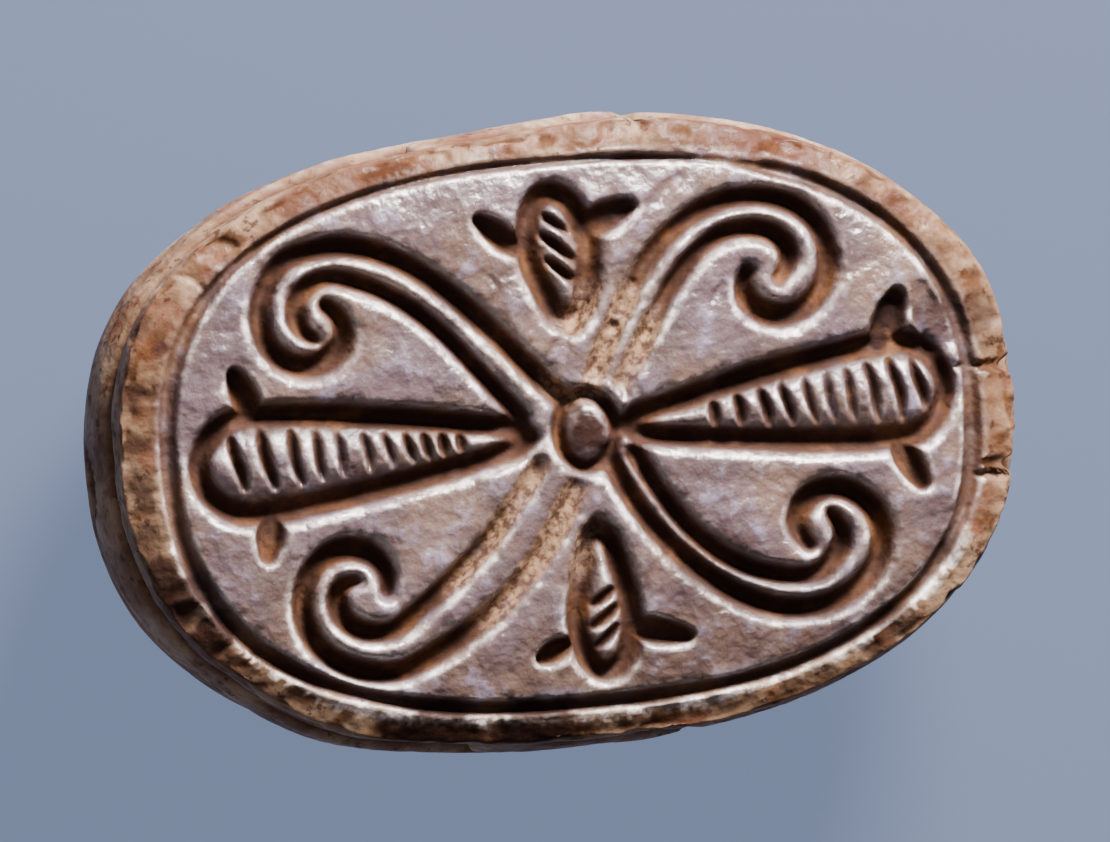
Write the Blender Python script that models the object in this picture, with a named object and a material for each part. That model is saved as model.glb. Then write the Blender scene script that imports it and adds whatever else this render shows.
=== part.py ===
"""Scarab amulet: one piece of carved stone, lying on its back with the carved face up.

The plan runs +X to the beetle's head and +Y across. Plan positions are written for a
drawing of DRAWN_LENGTH by DRAWN_WIDTH and stretched to the real size; depths are
millimetres below the carved face. The mesh is made in metres.
"""
import bmesh
import bpy
import numpy as np
from mathutils import Vector
from mathutils.geometry import delaunay_2d_cdt

MM = 0.001

# Driving sizes, millimetres
LENGTH = 17.5
WIDTH = 11.8
HEIGHT = 7.6
PLINTH = 1.38
LEG_BAND = 1.9
BORE = 1.4
CUT_DEPTH = 0.38
BORDER_DEPTH = 0.22
LEG_RELIEF = 0.24
REST_FLAT = 0.07

# The drawing that the plan positions belong to
DRAWN_LENGTH = 17.5
DRAWN_WIDTH = 11.8
STRETCH_X = LENGTH / DRAWN_LENGTH
STRETCH_Y = WIDTH / DRAWN_WIDTH

# Derived depths down the side
PARTING = 0.14
LEG_TOP = PLINTH + 2 * PARTING
LEG_FOOT = LEG_TOP + LEG_BAND
WING_EDGE = LEG_FOOT + 2 * PARTING
BORE_DEPTH = LEG_TOP + 0.72 * LEG_BAND
DOME = HEIGHT - WING_EDGE + REST_FLAT
RIM_SHARE = 0.908
WING_SHARE = 0.985
SHOULDER_SHARE = 0.90

# Outline: a superellipse with the stone's own unevenness as (angle, spread, millimetres)
OUTLINE_POWER = 2.37
UNEVEN = [(107, 15, -0.11), (72, 11, 0.09), (157, 9, 0.07), (-155, 13, -0.09),
          (-133, 6, 0.11), (-67, 9, 0.04), (17, 5, 0.05), (30, 8, -0.04)]
HEAD_NICKS = [(0.43, 0.20), (-1.52, 0.20)]

# Border line of the face: half length, half width, power, turn in degrees
BORDER = (7.55, 5.03, 2.5, -0.9)
BORDER_HALF = 0.16

# Scroll cuts, the outer and the inner one of each scroll in turn: root, heading, eye centre, radius
# at the start and end of the curl, start angle, sweep, power of the curl, turn, half width, share
# of the full depth at the root
OUTER_HALF = 0.27
INNER_HALF = 0.22
SCROLL_CUTS = [
    dict(root=(-0.20, 0.70), heading=132, eye=(-4.62, 2.44), curl=(1.34, 0.46), start=112,
         sweep=302, power=0.56, turn=1, half=OUTER_HALF, root_depth=0.95),
    dict(root=(-0.93, 0.40), heading=130, eye=(-4.43, 2.56), curl=(0.82, 0.38), start=74,
         sweep=170, power=0.73, turn=1, half=INNER_HALF, root_depth=0.95),
    dict(root=(0.49, 1.02), heading=64, eye=(3.90, 2.70), curl=(1.28, 0.30), start=75,
         sweep=248, power=2.47, turn=-1, half=OUTER_HALF, root_depth=0.32),
    dict(root=(1.01, 0.84), heading=55, eye=(3.90, 2.76), curl=(0.60, 0.40), start=65,
         sweep=116, power=1.29, turn=-1, half=INNER_HALF, root_depth=0.32),
    dict(root=(-0.04, -0.98), heading=-120, eye=(-4.26, -2.51), curl=(1.69, 0.50), start=290,
         sweep=299, power=0.69, turn=-1, half=OUTER_HALF, root_depth=0.32),
    dict(root=(-0.73, -0.53), heading=-126, eye=(-4.26, -2.50), curl=(1.00, 0.20), start=304,
         sweep=203, power=0.73, turn=-1, half=INNER_HALF, root_depth=0.32),
    dict(root=(0.62, -0.50), heading=-72, eye=(4.54, -2.45), curl=(1.08, 0.34), start=311,
         sweep=245, power=2.5, turn=1, half=OUTER_HALF, root_depth=0.95),
    dict(root=(1.10, -0.50), heading=-65, eye=(4.37, -2.35), curl=(0.77, 0.45), start=273,
         sweep=135, power=0.34, turn=1, half=INNER_HALF, root_depth=0.95),
]

# Buds: tip, end, half width, share of the length at the widest, cuts along the bud from the tip
BUDS = [
    dict(tip=(-1.00, 0.00), end=(-6.82, 0.00), half=0.77, widest=0.86, blunt=2.0,
         cuts=[1.11, 1.41, 1.72, 2.06, 2.46, 2.87, 3.36, 3.76, 4.19, 4.72, 5.27], lean=-0.14),
    dict(tip=(1.20, 0.02), end=(6.92, 0.17), half=0.76, widest=0.87, blunt=2.0,
         cuts=[1.48, 1.95, 2.44, 2.87, 3.31, 3.69, 4.07, 4.51, 4.97, 5.41], lean=-0.12),
    dict(tip=(0.16, 2.18), end=(0.03, 4.22), half=0.41, widest=0.64, blunt=1.3,
         cuts=[0.82, 1.22, 1.62], lean=0.8),
    dict(tip=(0.27, -2.00), end=(0.21, -4.36), half=0.37, widest=0.66, blunt=1.8,
         cuts=[1.18, 1.64], lean=-0.65),
]
BUD_GROOVE_HALF = 0.25
BUD_CLEAR = 0.17
BUD_CUT_HALF = 0.15
BUD_CUT_DEPTH = 0.2

# Leaves: wedge cuts from the bud's end outwards, (start, tip, half width)
LEAVES = [
    ((-5.91, 0.95), (-6.17, 1.74), 0.21), ((-5.72, -0.92), (-5.83, -1.72), 0.26),
    ((6.06, 1.17), (6.36, 1.87), 0.24), ((6.10, -0.92), (6.46, -1.66), 0.20),
    ((-0.70, 3.50), (-1.40, 4.14), 0.20), ((0.55, 3.66), (1.46, 4.04), 0.21),
    ((-0.56, -3.92), (-1.08, -4.13), 0.15), ((0.75, -3.72), (1.78, -3.99), 0.20),
]
BOSS = dict(centre=(0.25, 0.0), ring=(0.56, 0.62), half=0.17)

# Legs in relief, (x, share down the leg band) from the body to the foot, and half width
LEGS = [
    [(2.5, 0.95), (4.4, 0.66), (6.9, 0.22)],
    [(1.7, 0.95), (0.3, 0.50), (-1.9, 0.22)],
    [(-0.6, 0.95), (-3.6, 0.66), (-6.9, 0.22)],
]
LEG_HALF = 0.36

# Back of the beetle, plan positions along X
CREST = -0.4
PRONOTUM_LINE = 2.1
PRONOTUM_FRONT = 5.2
HEAD_HALF = 1.6
HEAD_END = 6.75
HEAD_SLOPE = 0.3

# Mesh spacing, millimetres
RING_POINTS = 84
ALONG = 0.36
TOO_CLOSE = 0.085
LONGEST_EDGE = 0.75


def smooth(edge0, edge1, value):
    t = np.clip((value - edge0) / (edge1 - edge0), 0.0, 1.0)
    return t * t * (3.0 - 2.0 * t)


def superellipse(half_x, half_y, power, angle):
    c = np.cos(angle)
    s = np.sin(angle)
    r = (np.abs(c / half_x) ** power + np.abs(s / half_y) ** power) ** (-1.0 / power)
    return np.stack([r * c, r * s], axis=-1)


def resample(line, step):
    """The polyline with evenly spaced points about `step` apart."""
    lengths = np.hypot(*np.diff(line, axis=0).T)
    along = np.concatenate([[0.0], np.cumsum(lengths)])
    count = max(2, int(round(along[-1] / step)) + 1)
    at = np.linspace(0.0, along[-1], count)
    return np.stack([np.interp(at, along, line[:, 0]), np.interp(at, along, line[:, 1])], axis=1)


def offset(line, distance):
    """The polyline moved sideways, to its left when distance is positive."""
    t = np.gradient(line, axis=0)
    t /= np.hypot(*t.T)[:, None]
    return line + distance * np.stack([-t[:, 1], t[:, 0]], axis=1)


def distance_to(points, line):
    """Distance from each point to the polyline, and the share of its length at the nearest spot."""
    best = np.full(len(points), np.inf)
    share = np.zeros(len(points))
    lengths = np.hypot(*np.diff(line, axis=0).T)
    along = np.concatenate([[0.0], np.cumsum(lengths)])
    for i, (a, b) in enumerate(zip(line[:-1], line[1:])):
        ab = b - a
        t = np.clip(((points - a) @ ab) / max(ab @ ab, 1e-12), 0.0, 1.0)
        d = np.hypot(*(points - a - t[:, None] * ab).T)
        near = d < best
        best[near] = d[near]
        share[near] = (along[i] + t[near] * lengths[i]) / along[-1]
    return best, share


def cut(distance, half, depth, floor=0.35):
    """Depth of a groove with straight sides and a flat floor at a distance from its middle."""
    return depth * np.clip((1.0 - distance / half) / (1.0 - floor), 0.0, 1.0)


def scroll_line(s):
    """Middle line of one scroll cut: a stem running into a curl."""
    start = np.radians(s["start"])
    f = np.linspace(0.0, 1.0, 60)
    angle = start + s["turn"] * np.radians(s["sweep"]) * f
    radius = s["curl"][0] + (s["curl"][1] - s["curl"][0]) * f ** s["power"]
    curl = np.array(s["eye"]) + radius[:, None] * np.stack([np.cos(angle), np.sin(angle)], axis=1)
    root = np.array(s["root"])
    heading = np.radians(s["heading"])
    reach = 0.4 * np.hypot(*(curl[0] - root))
    away = reach * np.array([np.cos(heading), np.sin(heading)])
    tangent = s["turn"] * reach * np.array([-np.sin(start), np.cos(start)])
    t = np.linspace(0.0, 1.0, 40)[:-1, None]
    stem = ((1 - t) ** 3 * root + 3 * (1 - t) ** 2 * t * (root + away)
            + 3 * (1 - t) * t ** 2 * (curl[0] - tangent) + t ** 3 * curl[0])
    line = resample(np.concatenate([stem, curl]), 0.1)
    for _ in range(6):
        line[1:-1] = 0.25 * line[:-2] + 0.5 * line[1:-1] + 0.25 * line[2:]
    return line


def scroll_half(s, share):
    """Half width of a scroll cut, wider in the eye of the curl and closing at its end."""
    return s["half"] * (1.0 + 0.15 * smooth(0.70, 0.88, share) - 0.45 * smooth(0.90, 1.0, share))


def bud_frame(bud):
    tip = np.array(bud["tip"])
    axis = np.array(bud["end"]) - tip
    length = np.hypot(*axis)
    axis = axis / length
    return tip, axis, np.array([-axis[1], axis[0]]), length


def bud_half(bud, t):
    """Half width of a bud at the share t of its length."""
    rise = 1.0 - np.clip(1.0 - t / bud["widest"], 0.0, 1.0) ** 1.4
    fall = np.clip((t - bud["widest"]) / (1.0 - bud["widest"]), 0.0, 1.0)
    close = np.maximum(1.0 - fall ** bud["blunt"], 0.0) ** 0.55
    return bud["half"] * rise * close


def bud_outline(bud, grow):
    """Closed outline of the bud grown by a clearance."""
    tip, axis, side, length = bud_frame(bud)
    t = 0.5 - 0.5 * np.cos(np.linspace(0.0, np.pi, 40))
    half = bud_half(bud, t)
    upper = tip + np.outer(t * length, axis) + np.outer(half, side)
    lower = tip + np.outer(t * length, axis) - np.outer(half, side)
    loop = np.concatenate([upper, lower[-2:0:-1]])
    loop = resample(np.concatenate([loop, loop[:1]]), 0.12)[:-1]
    tangent = np.roll(loop, -1, axis=0) - np.roll(loop, 1, axis=0)
    tangent /= np.hypot(*tangent.T)[:, None]
    outward = np.stack([-tangent[:, 1], tangent[:, 0]], axis=1)
    return np.concatenate([loop + grow * outward, (loop + grow * outward)[:1]])


def bud_cuts(bud):
    """Middle line of each cut across a bud."""
    tip, axis, side, length = bud_frame(bud)
    lines = []
    for at in bud["cuts"]:
        half = 0.82 * bud_half(bud, np.array(at / length))
        s = np.array([-half, half])
        lines.append(tip + np.outer(at + bud["lean"] * s, axis) + np.outer(s, side))
    return lines


def inside_bud(points, bud):
    """Positive inside the bud, as a share of its half width."""
    tip, axis, side, length = bud_frame(bud)
    u = (points - tip) @ axis / length
    v = np.abs((points - tip) @ side)
    half = np.where((u > 0.0) & (u < 1.0), bud_half(bud, np.clip(u, 0.0, 1.0)), 0.0)
    return np.clip(1.0 - v / np.maximum(half, 1e-6), 0.0, 1.0)


def face_depth(points):
    """Depth of the carving below the face at plan positions of the drawing."""
    depth = np.zeros(len(points))
    for s in SCROLL_CUTS:
        d, share = distance_to(points, scroll_line(s))
        worn = s["root_depth"] + (1.0 - s["root_depth"]) * smooth(0.05, 0.42, share)
        depth = np.maximum(depth, cut(d, scroll_half(s, share), CUT_DEPTH * worn))
    for bud in BUDS:
        d, _ = distance_to(points, bud_outline(bud, BUD_CLEAR))
        depth = np.maximum(depth, cut(d, BUD_GROOVE_HALF, CUT_DEPTH))
        core = inside_bud(points, bud)
        swell = 0.10 * (1.0 - smooth(0.0, 0.8, core))
        depth = np.where(core > 0.0, np.maximum(depth, swell), depth)
        for line in bud_cuts(bud):
            d, _ = distance_to(points, line)
            depth = np.maximum(depth, cut(d, BUD_CUT_HALF, 0.05 + BUD_CUT_DEPTH))
    for start, tip, half in LEAVES:
        d, share = distance_to(points, np.array([start, tip]))
        taper = 1.0 - 0.25 * share
        depth = np.maximum(depth, cut(d, half * taper, 0.9 * CUT_DEPTH * taper))
    d = boss_distance(points)
    depth = np.maximum(depth, cut(d, BOSS["half"], CUT_DEPTH))
    d = border_distance(points)
    return np.maximum(depth, cut(d, BORDER_HALF, BORDER_DEPTH))


def boss_distance(points):
    q = (points - BOSS["centre"]) / BOSS["ring"]
    return np.abs(np.hypot(*q.T) - 1.0) * 0.59


def border_line(grow, count):
    half_x, half_y, power, turn = BORDER
    loop = superellipse(half_x + grow, half_y + grow, power, np.linspace(0, 2 * np.pi, count + 1)[:-1])
    a = np.radians(turn)
    return loop @ np.array([[np.cos(a), np.sin(a)], [-np.sin(a), np.cos(a)]])


def border_distance(points):
    loop = border_line(0.0, 180)
    d, _ = distance_to(points, np.concatenate([loop, loop[:1]]))
    return d


def outline(u):
    """Widest outline at the share u of the way round, starting at the tail's left corner."""
    fine = np.radians(np.linspace(150.0, 510.0, 1441))
    loop = superellipse(DRAWN_LENGTH / 2, DRAWN_WIDTH / 2, OUTLINE_POWER, fine)
    turn = np.degrees(np.arctan2(loop[:, 1], loop[:, 0]))
    uneven = np.zeros(len(loop))
    for angle, spread, rise in UNEVEN:
        away = (turn - angle + 180.0) % 360.0 - 180.0
        uneven += rise * np.exp(-0.5 * (away / spread) ** 2)
    loop = loop * (1.0 + uneven / np.hypot(*loop.T))[:, None]
    along = np.concatenate([[0.0], np.cumsum(np.hypot(*np.diff(loop, axis=0).T))])
    at = np.asarray(u) * along[-1]
    return np.stack([np.interp(at, along, loop[:, 0]), np.interp(at, along, loop[:, 1])], axis=-1)


def side_share(w):
    """Share of the widest outline at a depth w down the side, before the legs are cut."""
    depths = [0.0, 0.08, 0.25, 0.55, 1.0, PLINTH, PLINTH + PARTING, LEG_TOP,
              LEG_TOP + 0.2 * LEG_BAND, LEG_TOP + 0.5 * LEG_BAND, LEG_TOP + 0.8 * LEG_BAND,
              LEG_FOOT, LEG_FOOT + PARTING, WING_EDGE]
    shares = [RIM_SHARE, 0.930, 0.948, 0.961, 0.968, 0.966, 0.944, 0.972,
              0.990, 1.0, 0.996, 0.982, 0.962, WING_SHARE]
    return np.interp(w, depths, shares), depths


def leg_relief(plan, w):
    """How far the side is cut back between the legs, millimetres."""
    share = (w - LEG_TOP) / LEG_BAND
    band = smooth(0.0, 0.12, share) * (1.0 - smooth(0.88, 1.0, share))
    flank = 1.0 - smooth(6.6, 7.6, np.abs(plan[:, 0]))
    here = np.stack([plan[:, 0], share * LEG_BAND], axis=1)
    away = np.full(len(plan), np.inf)
    for leg in LEGS:
        d, _ = distance_to(here, leg_line(leg))
        away = np.minimum(away, d)
    return LEG_RELIEF * band * flank * smooth(LEG_HALF, LEG_HALF + 0.14, away)


def leg_line(leg):
    """Middle line of a leg as (x, millimetres down the leg band), a smooth bow through three points."""
    a, b, c = [np.array([x, s * LEG_BAND]) for x, s in leg]
    t = np.linspace(0.0, 1.0, 16)[:, None]
    mid = 2.0 * b - 0.5 * (a + c)
    return (1 - t) ** 2 * a + 2 * (1 - t) * t * mid + t ** 2 * c


def head_nick(plan, w):
    """Notches in the plinth at both sides of the head."""
    at_head = smooth(7.2, 7.9, plan[:, 0]) * (1.0 - smooth(PLINTH, LEG_TOP, w))
    nick = np.zeros(len(plan))
    for y, half in HEAD_NICKS:
        nick = np.maximum(nick, cut(np.abs(plan[:, 1] - y), half, 0.2))
    return nick * at_head


def side_point(u, v):
    """Point on the side at the share u round and the level v; beyond the wing edge v runs 1 to 2 shares."""
    base = outline(u)
    radius = np.hypot(*base.T)
    w = np.minimum(v, WING_EDGE)
    share, _ = side_share(w)
    share = share - (leg_relief(base, w) + head_nick(base, w)) / radius
    over = np.clip(v - WING_EDGE, 0.0, 1.0)
    share = np.where(v > WING_EDGE, WING_SHARE + (SHOULDER_SHARE - WING_SHARE) * over ** 2, share)
    plan = base * share[:, None]
    depth = np.where(v > WING_EDGE, np.maximum(back_depth(plan), WING_EDGE), w)
    return plan, depth


def crest_share(x):
    """Height of the back along its middle as a share of the dome."""
    tail = np.clip((CREST - x) / (CREST + WING_SHARE * DRAWN_LENGTH / 2), 0.0, 1.0)
    rear = (1.0 - tail ** 2.6) ** (1.0 / 2.2)
    ahead = np.clip((x - CREST) / (PRONOTUM_FRONT - CREST), 0.0, None)
    front = 1.0 - 0.36 * ahead ** 2
    nose = np.clip((x - PRONOTUM_FRONT) / (WING_SHARE * DRAWN_LENGTH / 2 - PRONOTUM_FRONT), 0.0, 1.0)
    plate = (0.34 - 0.12 * nose) * (1.0 - nose ** 5) ** 0.5
    step = smooth(PRONOTUM_FRONT - 0.1, PRONOTUM_FRONT + 0.25, x)
    return np.where(x < CREST, rear, front * (1.0 - step) + plate * step)


def back_lines():
    """Lines cut in the back: (polyline, half width, depth)."""
    y = np.linspace(-4.9, 4.9, 40)
    collar = np.stack([PRONOTUM_LINE - 0.035 * y ** 2, y], axis=1)
    suture = np.array([[PRONOTUM_LINE, 0.0], [-8.3, 0.0]])
    lines = [(collar, 0.19, 0.17), (suture, 0.17, 0.15)]
    for side in (-1, 1):
        nick = np.array([[PRONOTUM_LINE - 0.45, side * 3.5], [PRONOTUM_LINE - 1.6, side * 3.9]])
        lines.append((nick, 0.2, 0.16))
    return lines


def back_depth(points):
    """Depth of the back below the face at plan positions."""
    x, y = points.T
    half_x = WING_SHARE * DRAWN_LENGTH / 2
    half_y = WING_SHARE * DRAWN_WIDTH / 2
    reach = half_y * np.maximum(1.0 - np.abs(x / half_x) ** OUTLINE_POWER, 1e-6) ** (1.0 / OUTLINE_POWER)
    arch = np.maximum(1.0 - np.clip(np.abs(y) / reach, 0.0, 1.0) ** 2.3, 0.0) ** 0.5
    rise = crest_share(x) * arch
    rise = rise + head_rise(points) * arch
    depth = WING_EDGE + DOME * rise
    worn = smooth(-0.6 * REST_FLAT, 0.0, depth - HEIGHT)
    for line, half, deep in back_lines():
        d, _ = distance_to(points, line)
        depth = depth - (1.0 - worn) * cut(d, half, deep)
    return np.minimum(depth, HEIGHT)


def head_half(x):
    return HEAD_HALF - 0.35 * (x - PRONOTUM_FRONT)


def head_rise(points):
    """Rise of the beetle's head over the plate in front of the pronotum, falling to its front."""
    x, y = points.T
    half = head_half(x)
    across = 1.0 - smooth(half, half + HEAD_SLOPE, np.abs(y))
    along = smooth(PRONOTUM_FRONT - 0.1, PRONOTUM_FRONT + 0.25, x)
    along = along * (1.0 - smooth(HEAD_END, HEAD_END + HEAD_SLOPE, x))
    return across * along * (0.20 - 0.07 * (x - PRONOTUM_FRONT))


def thin(groups, keep_from):
    """Points of all groups without those too close together, and each group as a run of indices."""
    kept = [np.array(p) for p in keep_from]
    cells = {}
    for i, p in enumerate(kept):
        cells.setdefault(cell(p), []).append(i)
    runs = []
    for group in groups:
        run = []
        for p in group:
            cx, cy = cell(p)
            near = [k for i in (-1, 0, 1) for j in (-1, 0, 1) for k in cells.get((cx + i, cy + j), [])]
            away = [np.hypot(*(p - kept[k])) for k in near]
            if near and min(away) < TOO_CLOSE:
                run.append(near[int(np.argmin(away))])
                continue
            run.append(len(kept))
            cells.setdefault((cx, cy), []).append(len(kept))
            kept.append(np.array(p))
        runs.append(run)
    return np.array(kept), runs


def cell(p):
    return int(p[0] // TOO_CLOSE), int(p[1] // TOO_CLOSE)


def cross_2d(a, b):
    return a[..., 0] * b[..., 1] - a[..., 1] * b[..., 0]


def clean_edges(points, runs, fixed):
    """Edges along the runs that cross no edge before them and pass no point closely."""
    edges = list(fixed)
    for run in runs:
        for i, j in zip(run[:-1], run[1:]):
            a, b = points[i], points[j]
            span = np.hypot(*(b - a))
            if i == j or span > LONGEST_EDGE:
                continue
            old = np.array(edges)
            c, d = points[old[:, 0]], points[old[:, 1]]
            apart = (old != i).all(axis=1) & (old != j).all(axis=1)
            meets = (cross_2d(b - a, c - a) * cross_2d(b - a, d - a) < 0)
            meets &= (cross_2d(d - c, a - c) * cross_2d(d - c, b - c) < 0)
            t = np.clip((points - a) @ (b - a) / span ** 2, 0.0, 1.0)
            near = np.hypot(*(points - a - t[:, None] * (b - a)).T) < 0.03
            near[[i, j]] = False
            if not (meets & apart).any() and not near.any():
                edges.append((i, j))
    return edges


def scroll_rows(s, floor=0.35):
    """Rows of points along a scroll cut: both lips and both edges of its floor."""
    base = resample(scroll_line(s), ALONG)
    half = scroll_half(s, np.linspace(0.0, 1.0, len(base)))[:, None]
    return [offset(base, k * half) for k in (-1.0, -floor, floor, 1.0)]


def triangulate(points, runs, loops, hull):
    """Delaunay triangles of the points; the closed loops, as index ranges, and the runs stay as edges."""
    fixed = []
    for first, last in loops:
        fixed += [(i, i + 1) for i in range(first, last - 1)] + [(last - 1, first)]
    edges = clean_edges(points, runs, fixed)
    found = delaunay_2d_cdt([Vector(p) for p in points], edges, [], 0 if hull else 1, 1e-6)
    return np.array([(v.x, v.y) for v in found[0]]), [tuple(f) for f in found[2]]


def face_points():
    """Plan points for the carved face, denser along the carving."""
    groups = []
    ring = np.linspace(0.0, 2 * np.pi, 19)
    for share in (-1.0, -0.35, 0.35, 1.0):
        q = np.stack([np.cos(ring), np.sin(ring)], axis=1)
        groups.append(BOSS["centre"] + q * (np.array(BOSS["ring"]) + share * BOSS["half"]))
    for bud in BUDS:
        for k in (1.0, 0.35, -0.35, -1.0):
            groups.append(resample(bud_outline(bud, BUD_CLEAR + k * BUD_GROOVE_HALF), 0.32))
        for line in bud_cuts(bud):
            for k in (0.0, -1.0, 1.0):
                groups.append(offset(resample(line, 0.4), k * BUD_CUT_HALF))
    for s in SCROLL_CUTS:
        groups += scroll_rows(s)
    for start, tip, half in LEAVES:
        middle = resample(np.array([start, tip]), 0.3)
        taper = half * np.linspace(1.0, 0.75, len(middle))[:, None]
        groups += [offset(middle, k * taper) for k in (1.0, 0.3, -0.3, -1.0)]
        groups.append(np.array(tip) + taper[-1] * (middle[-1:] - middle[-2:-1]) / 0.3)
    for grow in (-BORDER_HALF, 0.0, BORDER_HALF):
        loop = border_line(grow, 110)
        groups.append(np.concatenate([loop, loop[:1]]))
    grid = np.stack(np.meshgrid(np.arange(-8, 8.1, 0.8), np.arange(-5.2, 5.3, 0.8)), axis=-1).reshape(-1, 2)
    groups += [p[None] for p in grid]
    half_x, half_y, power, _ = BORDER
    return [g[np.sum(np.abs(g / (half_x + 0.25, half_y + 0.25)) ** power, axis=1) < 1.0] for g in groups]


def face_sheet():
    around = np.arange(RING_POINTS) / RING_POINTS
    ring, _ = side_point(around, np.zeros(RING_POINTS))
    points, runs = thin(face_points(), ring)
    verts, tris = triangulate(points, runs, [(0, RING_POINTS)], False)
    edge = np.sum(np.abs(verts / (BORDER[0] + 0.3, BORDER[1] + 0.3)) ** BORDER[2], axis=1) < 1.0
    return verts, np.where(edge, face_depth(verts), 0.0), tris


def back_sheet():
    ring = outline(np.arange(RING_POINTS) / RING_POINTS) * SHOULDER_SHARE
    rest = rest_contour()
    groups = [np.concatenate([rest, rest[:1]])] + head_rows()
    for line, half, _ in back_lines():
        base = resample(line, 0.55)
        groups += [offset(base, k * half) for k in (0.0, -1.0, 1.0)]
    for share, count in ((0.84, 64), (0.77, 52), (0.68, 44), (0.57, 36), (0.44, 26)):
        groups.append(outline(np.arange(count) / count) * share)
    allowed = lambda p: np.sum(np.abs(p / (DRAWN_LENGTH / 2, DRAWN_WIDTH / 2)) ** OUTLINE_POWER, axis=1)
    limit = (SHOULDER_SHARE - 0.025) ** OUTLINE_POWER
    groups = [g[allowed(g) < limit] for g in groups]
    points, runs = thin(groups, ring)
    verts, tris = triangulate(points, runs, [(0, RING_POINTS)], False)
    return verts, back_depth(verts), tris


def rest_contour():
    """Edge of the small worn flat that the piece lies on."""
    contour = []
    for a in np.linspace(0.0, 2 * np.pi, 33)[:-1]:
        toward = np.array([np.cos(a), np.sin(a)])
        r = np.linspace(0.05, 4.5, 450)
        depth = back_depth(np.array([CREST, 0.0]) + np.outer(r, toward))
        contour.append(np.array([CREST, 0.0]) + toward * (r[np.argmax(depth < HEIGHT)] - 0.01))
    return np.array(contour)


def head_rows():
    """Points along the steps of the head and the pronotum's front edge."""
    groups = []
    for x in (PRONOTUM_FRONT - 0.1, PRONOTUM_FRONT + 0.25):
        groups.append(np.array([(x, y) for y in np.arange(-4.2, 4.21, 0.42)]))
    x = np.linspace(PRONOTUM_FRONT + 0.25, HEAD_END, 5)
    for side in (-1, 1):
        for clear in (0.0, HEAD_SLOPE):
            groups.append(np.stack([x, side * (head_half(x) + clear)], axis=1))
    for x in (HEAD_END, HEAD_END + HEAD_SLOPE):
        groups.append(np.array([(x, y) for y in (-0.9, -0.45, 0.0, 0.45, 0.9)]))
    return groups


def bore_ring(end):
    """Where the lengthwise bore meets the side at one end, as (share round, depth)."""
    turn = np.linspace(0.0, 2 * np.pi, 25)[:-1]
    radius = BORE / 2
    w = BORE_DEPTH + radius * np.sin(turn)
    y = radius * np.cos(turn) / STRETCH_Y
    u = np.linspace(0.0, 1.0, 4001)
    loop = outline(u)
    part = (end * loop[:, 0] > 0) & (np.abs(loop[:, 1]) < 0.4 * DRAWN_WIDTH)
    order = np.argsort(loop[part, 1])
    share, _ = side_share(w)
    at = np.interp(y / share, loop[part, 1][order], u[part][order])
    return np.stack([at, w], axis=1)


def side_sheet():
    """The side as a strip, (millimetres round, level), with the two mouths of the bore left open."""
    round_length = 48.0
    _, levels = side_share(0.0)
    levels = levels + [WING_EDGE + k for k in (0.35, 0.65, 1.0)]
    at = np.arange(RING_POINTS + 1) / RING_POINTS * round_length
    frame = [(s, 0.0) for s in at] + [(s, WING_EDGE + 1.0) for s in at[::-1]]
    frame += [(0.0, v) for v in levels[-2:0:-1]]
    frame[RING_POINTS + 1:RING_POINTS + 1] = [(round_length, v) for v in levels[1:-1]]
    mouths = [bore_ring(end) * (round_length, 1.0) for end in (-1, 1)]
    fixed = np.array(frame + [tuple(p) for m in mouths for p in m])
    groups = []
    u = np.linspace(0.0, 1.0, 2001)
    loop = outline(u)
    for side in (-1, 1):
        part = side * loop[:, 1] > 0
        flank = loop[part]
        order = np.argsort(flank[:, 0])
        to_round = lambda x: np.interp(x, flank[order, 0], u[part][order]) * round_length
        for leg in LEGS:
            line = resample(leg_line(leg), ALONG)
            for k in (-LEG_HALF, -LEG_HALF - 0.14, LEG_HALF, LEG_HALF + 0.14):
                moved = offset(line, k)
                row = np.stack([to_round(moved[:, 0]), LEG_TOP + moved[:, 1]], axis=1)
                groups.append(row[(row[:, 1] > LEG_TOP + 0.1) & (row[:, 1] < LEG_FOOT - 0.1)])
    for v in levels[1:-1]:
        groups.append(np.array([(s, v) for s in at[1:-1]]))
    clear = [g[clear_of(g, mouths, round_length)] for g in groups]
    points, runs = thin(clear, fixed)
    first = len(frame)
    loops = [(0, first), (first, first + 24), (first + 24, first + 48)]
    verts, tris = triangulate(points, runs, loops, True)
    middle = np.array([verts[list(t)].mean(axis=0) for t in tris])
    closed = ~in_mouth(middle, mouths)
    tris = [t for t, keep in zip(tris, closed) if keep]
    u = verts[:, 0] / round_length
    plan, depth = side_point(u, verts[:, 1])
    return plan, depth, tris, [side_point(m[:, 0] / round_length, m[:, 1]) for m in mouths]


def in_mouth(points, mouths):
    inside = np.zeros(len(points), bool)
    for mouth in mouths:
        centre = mouth.mean(axis=0)
        reach = np.abs(mouth - centre).max(axis=0)
        inside |= np.hypot(*((points - centre) / reach).T) < 0.985
    return inside


def clear_of(points, mouths, round_length):
    """False for points in or just beside a mouth of the bore, or beside the strip's own ends."""
    ok = (points[:, 0] > 0.25) & (points[:, 0] < round_length - 0.25)
    for mouth in mouths:
        centre = mouth.mean(axis=0)
        reach = np.abs(mouth - centre).max(axis=0) + 0.12
        ok &= np.hypot(*((points - centre) / reach).T) > 1.0
    return ok


def add_sheet(bm, plan, depth, tris):
    verts = [bm.verts.new((x * STRETCH_X * MM, y * STRETCH_Y * MM, (HEIGHT - w) * MM))
             for (x, y), w in zip(plan, depth)]
    for tri in tris:
        bm.faces.new([verts[i] for i in tri])


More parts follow.
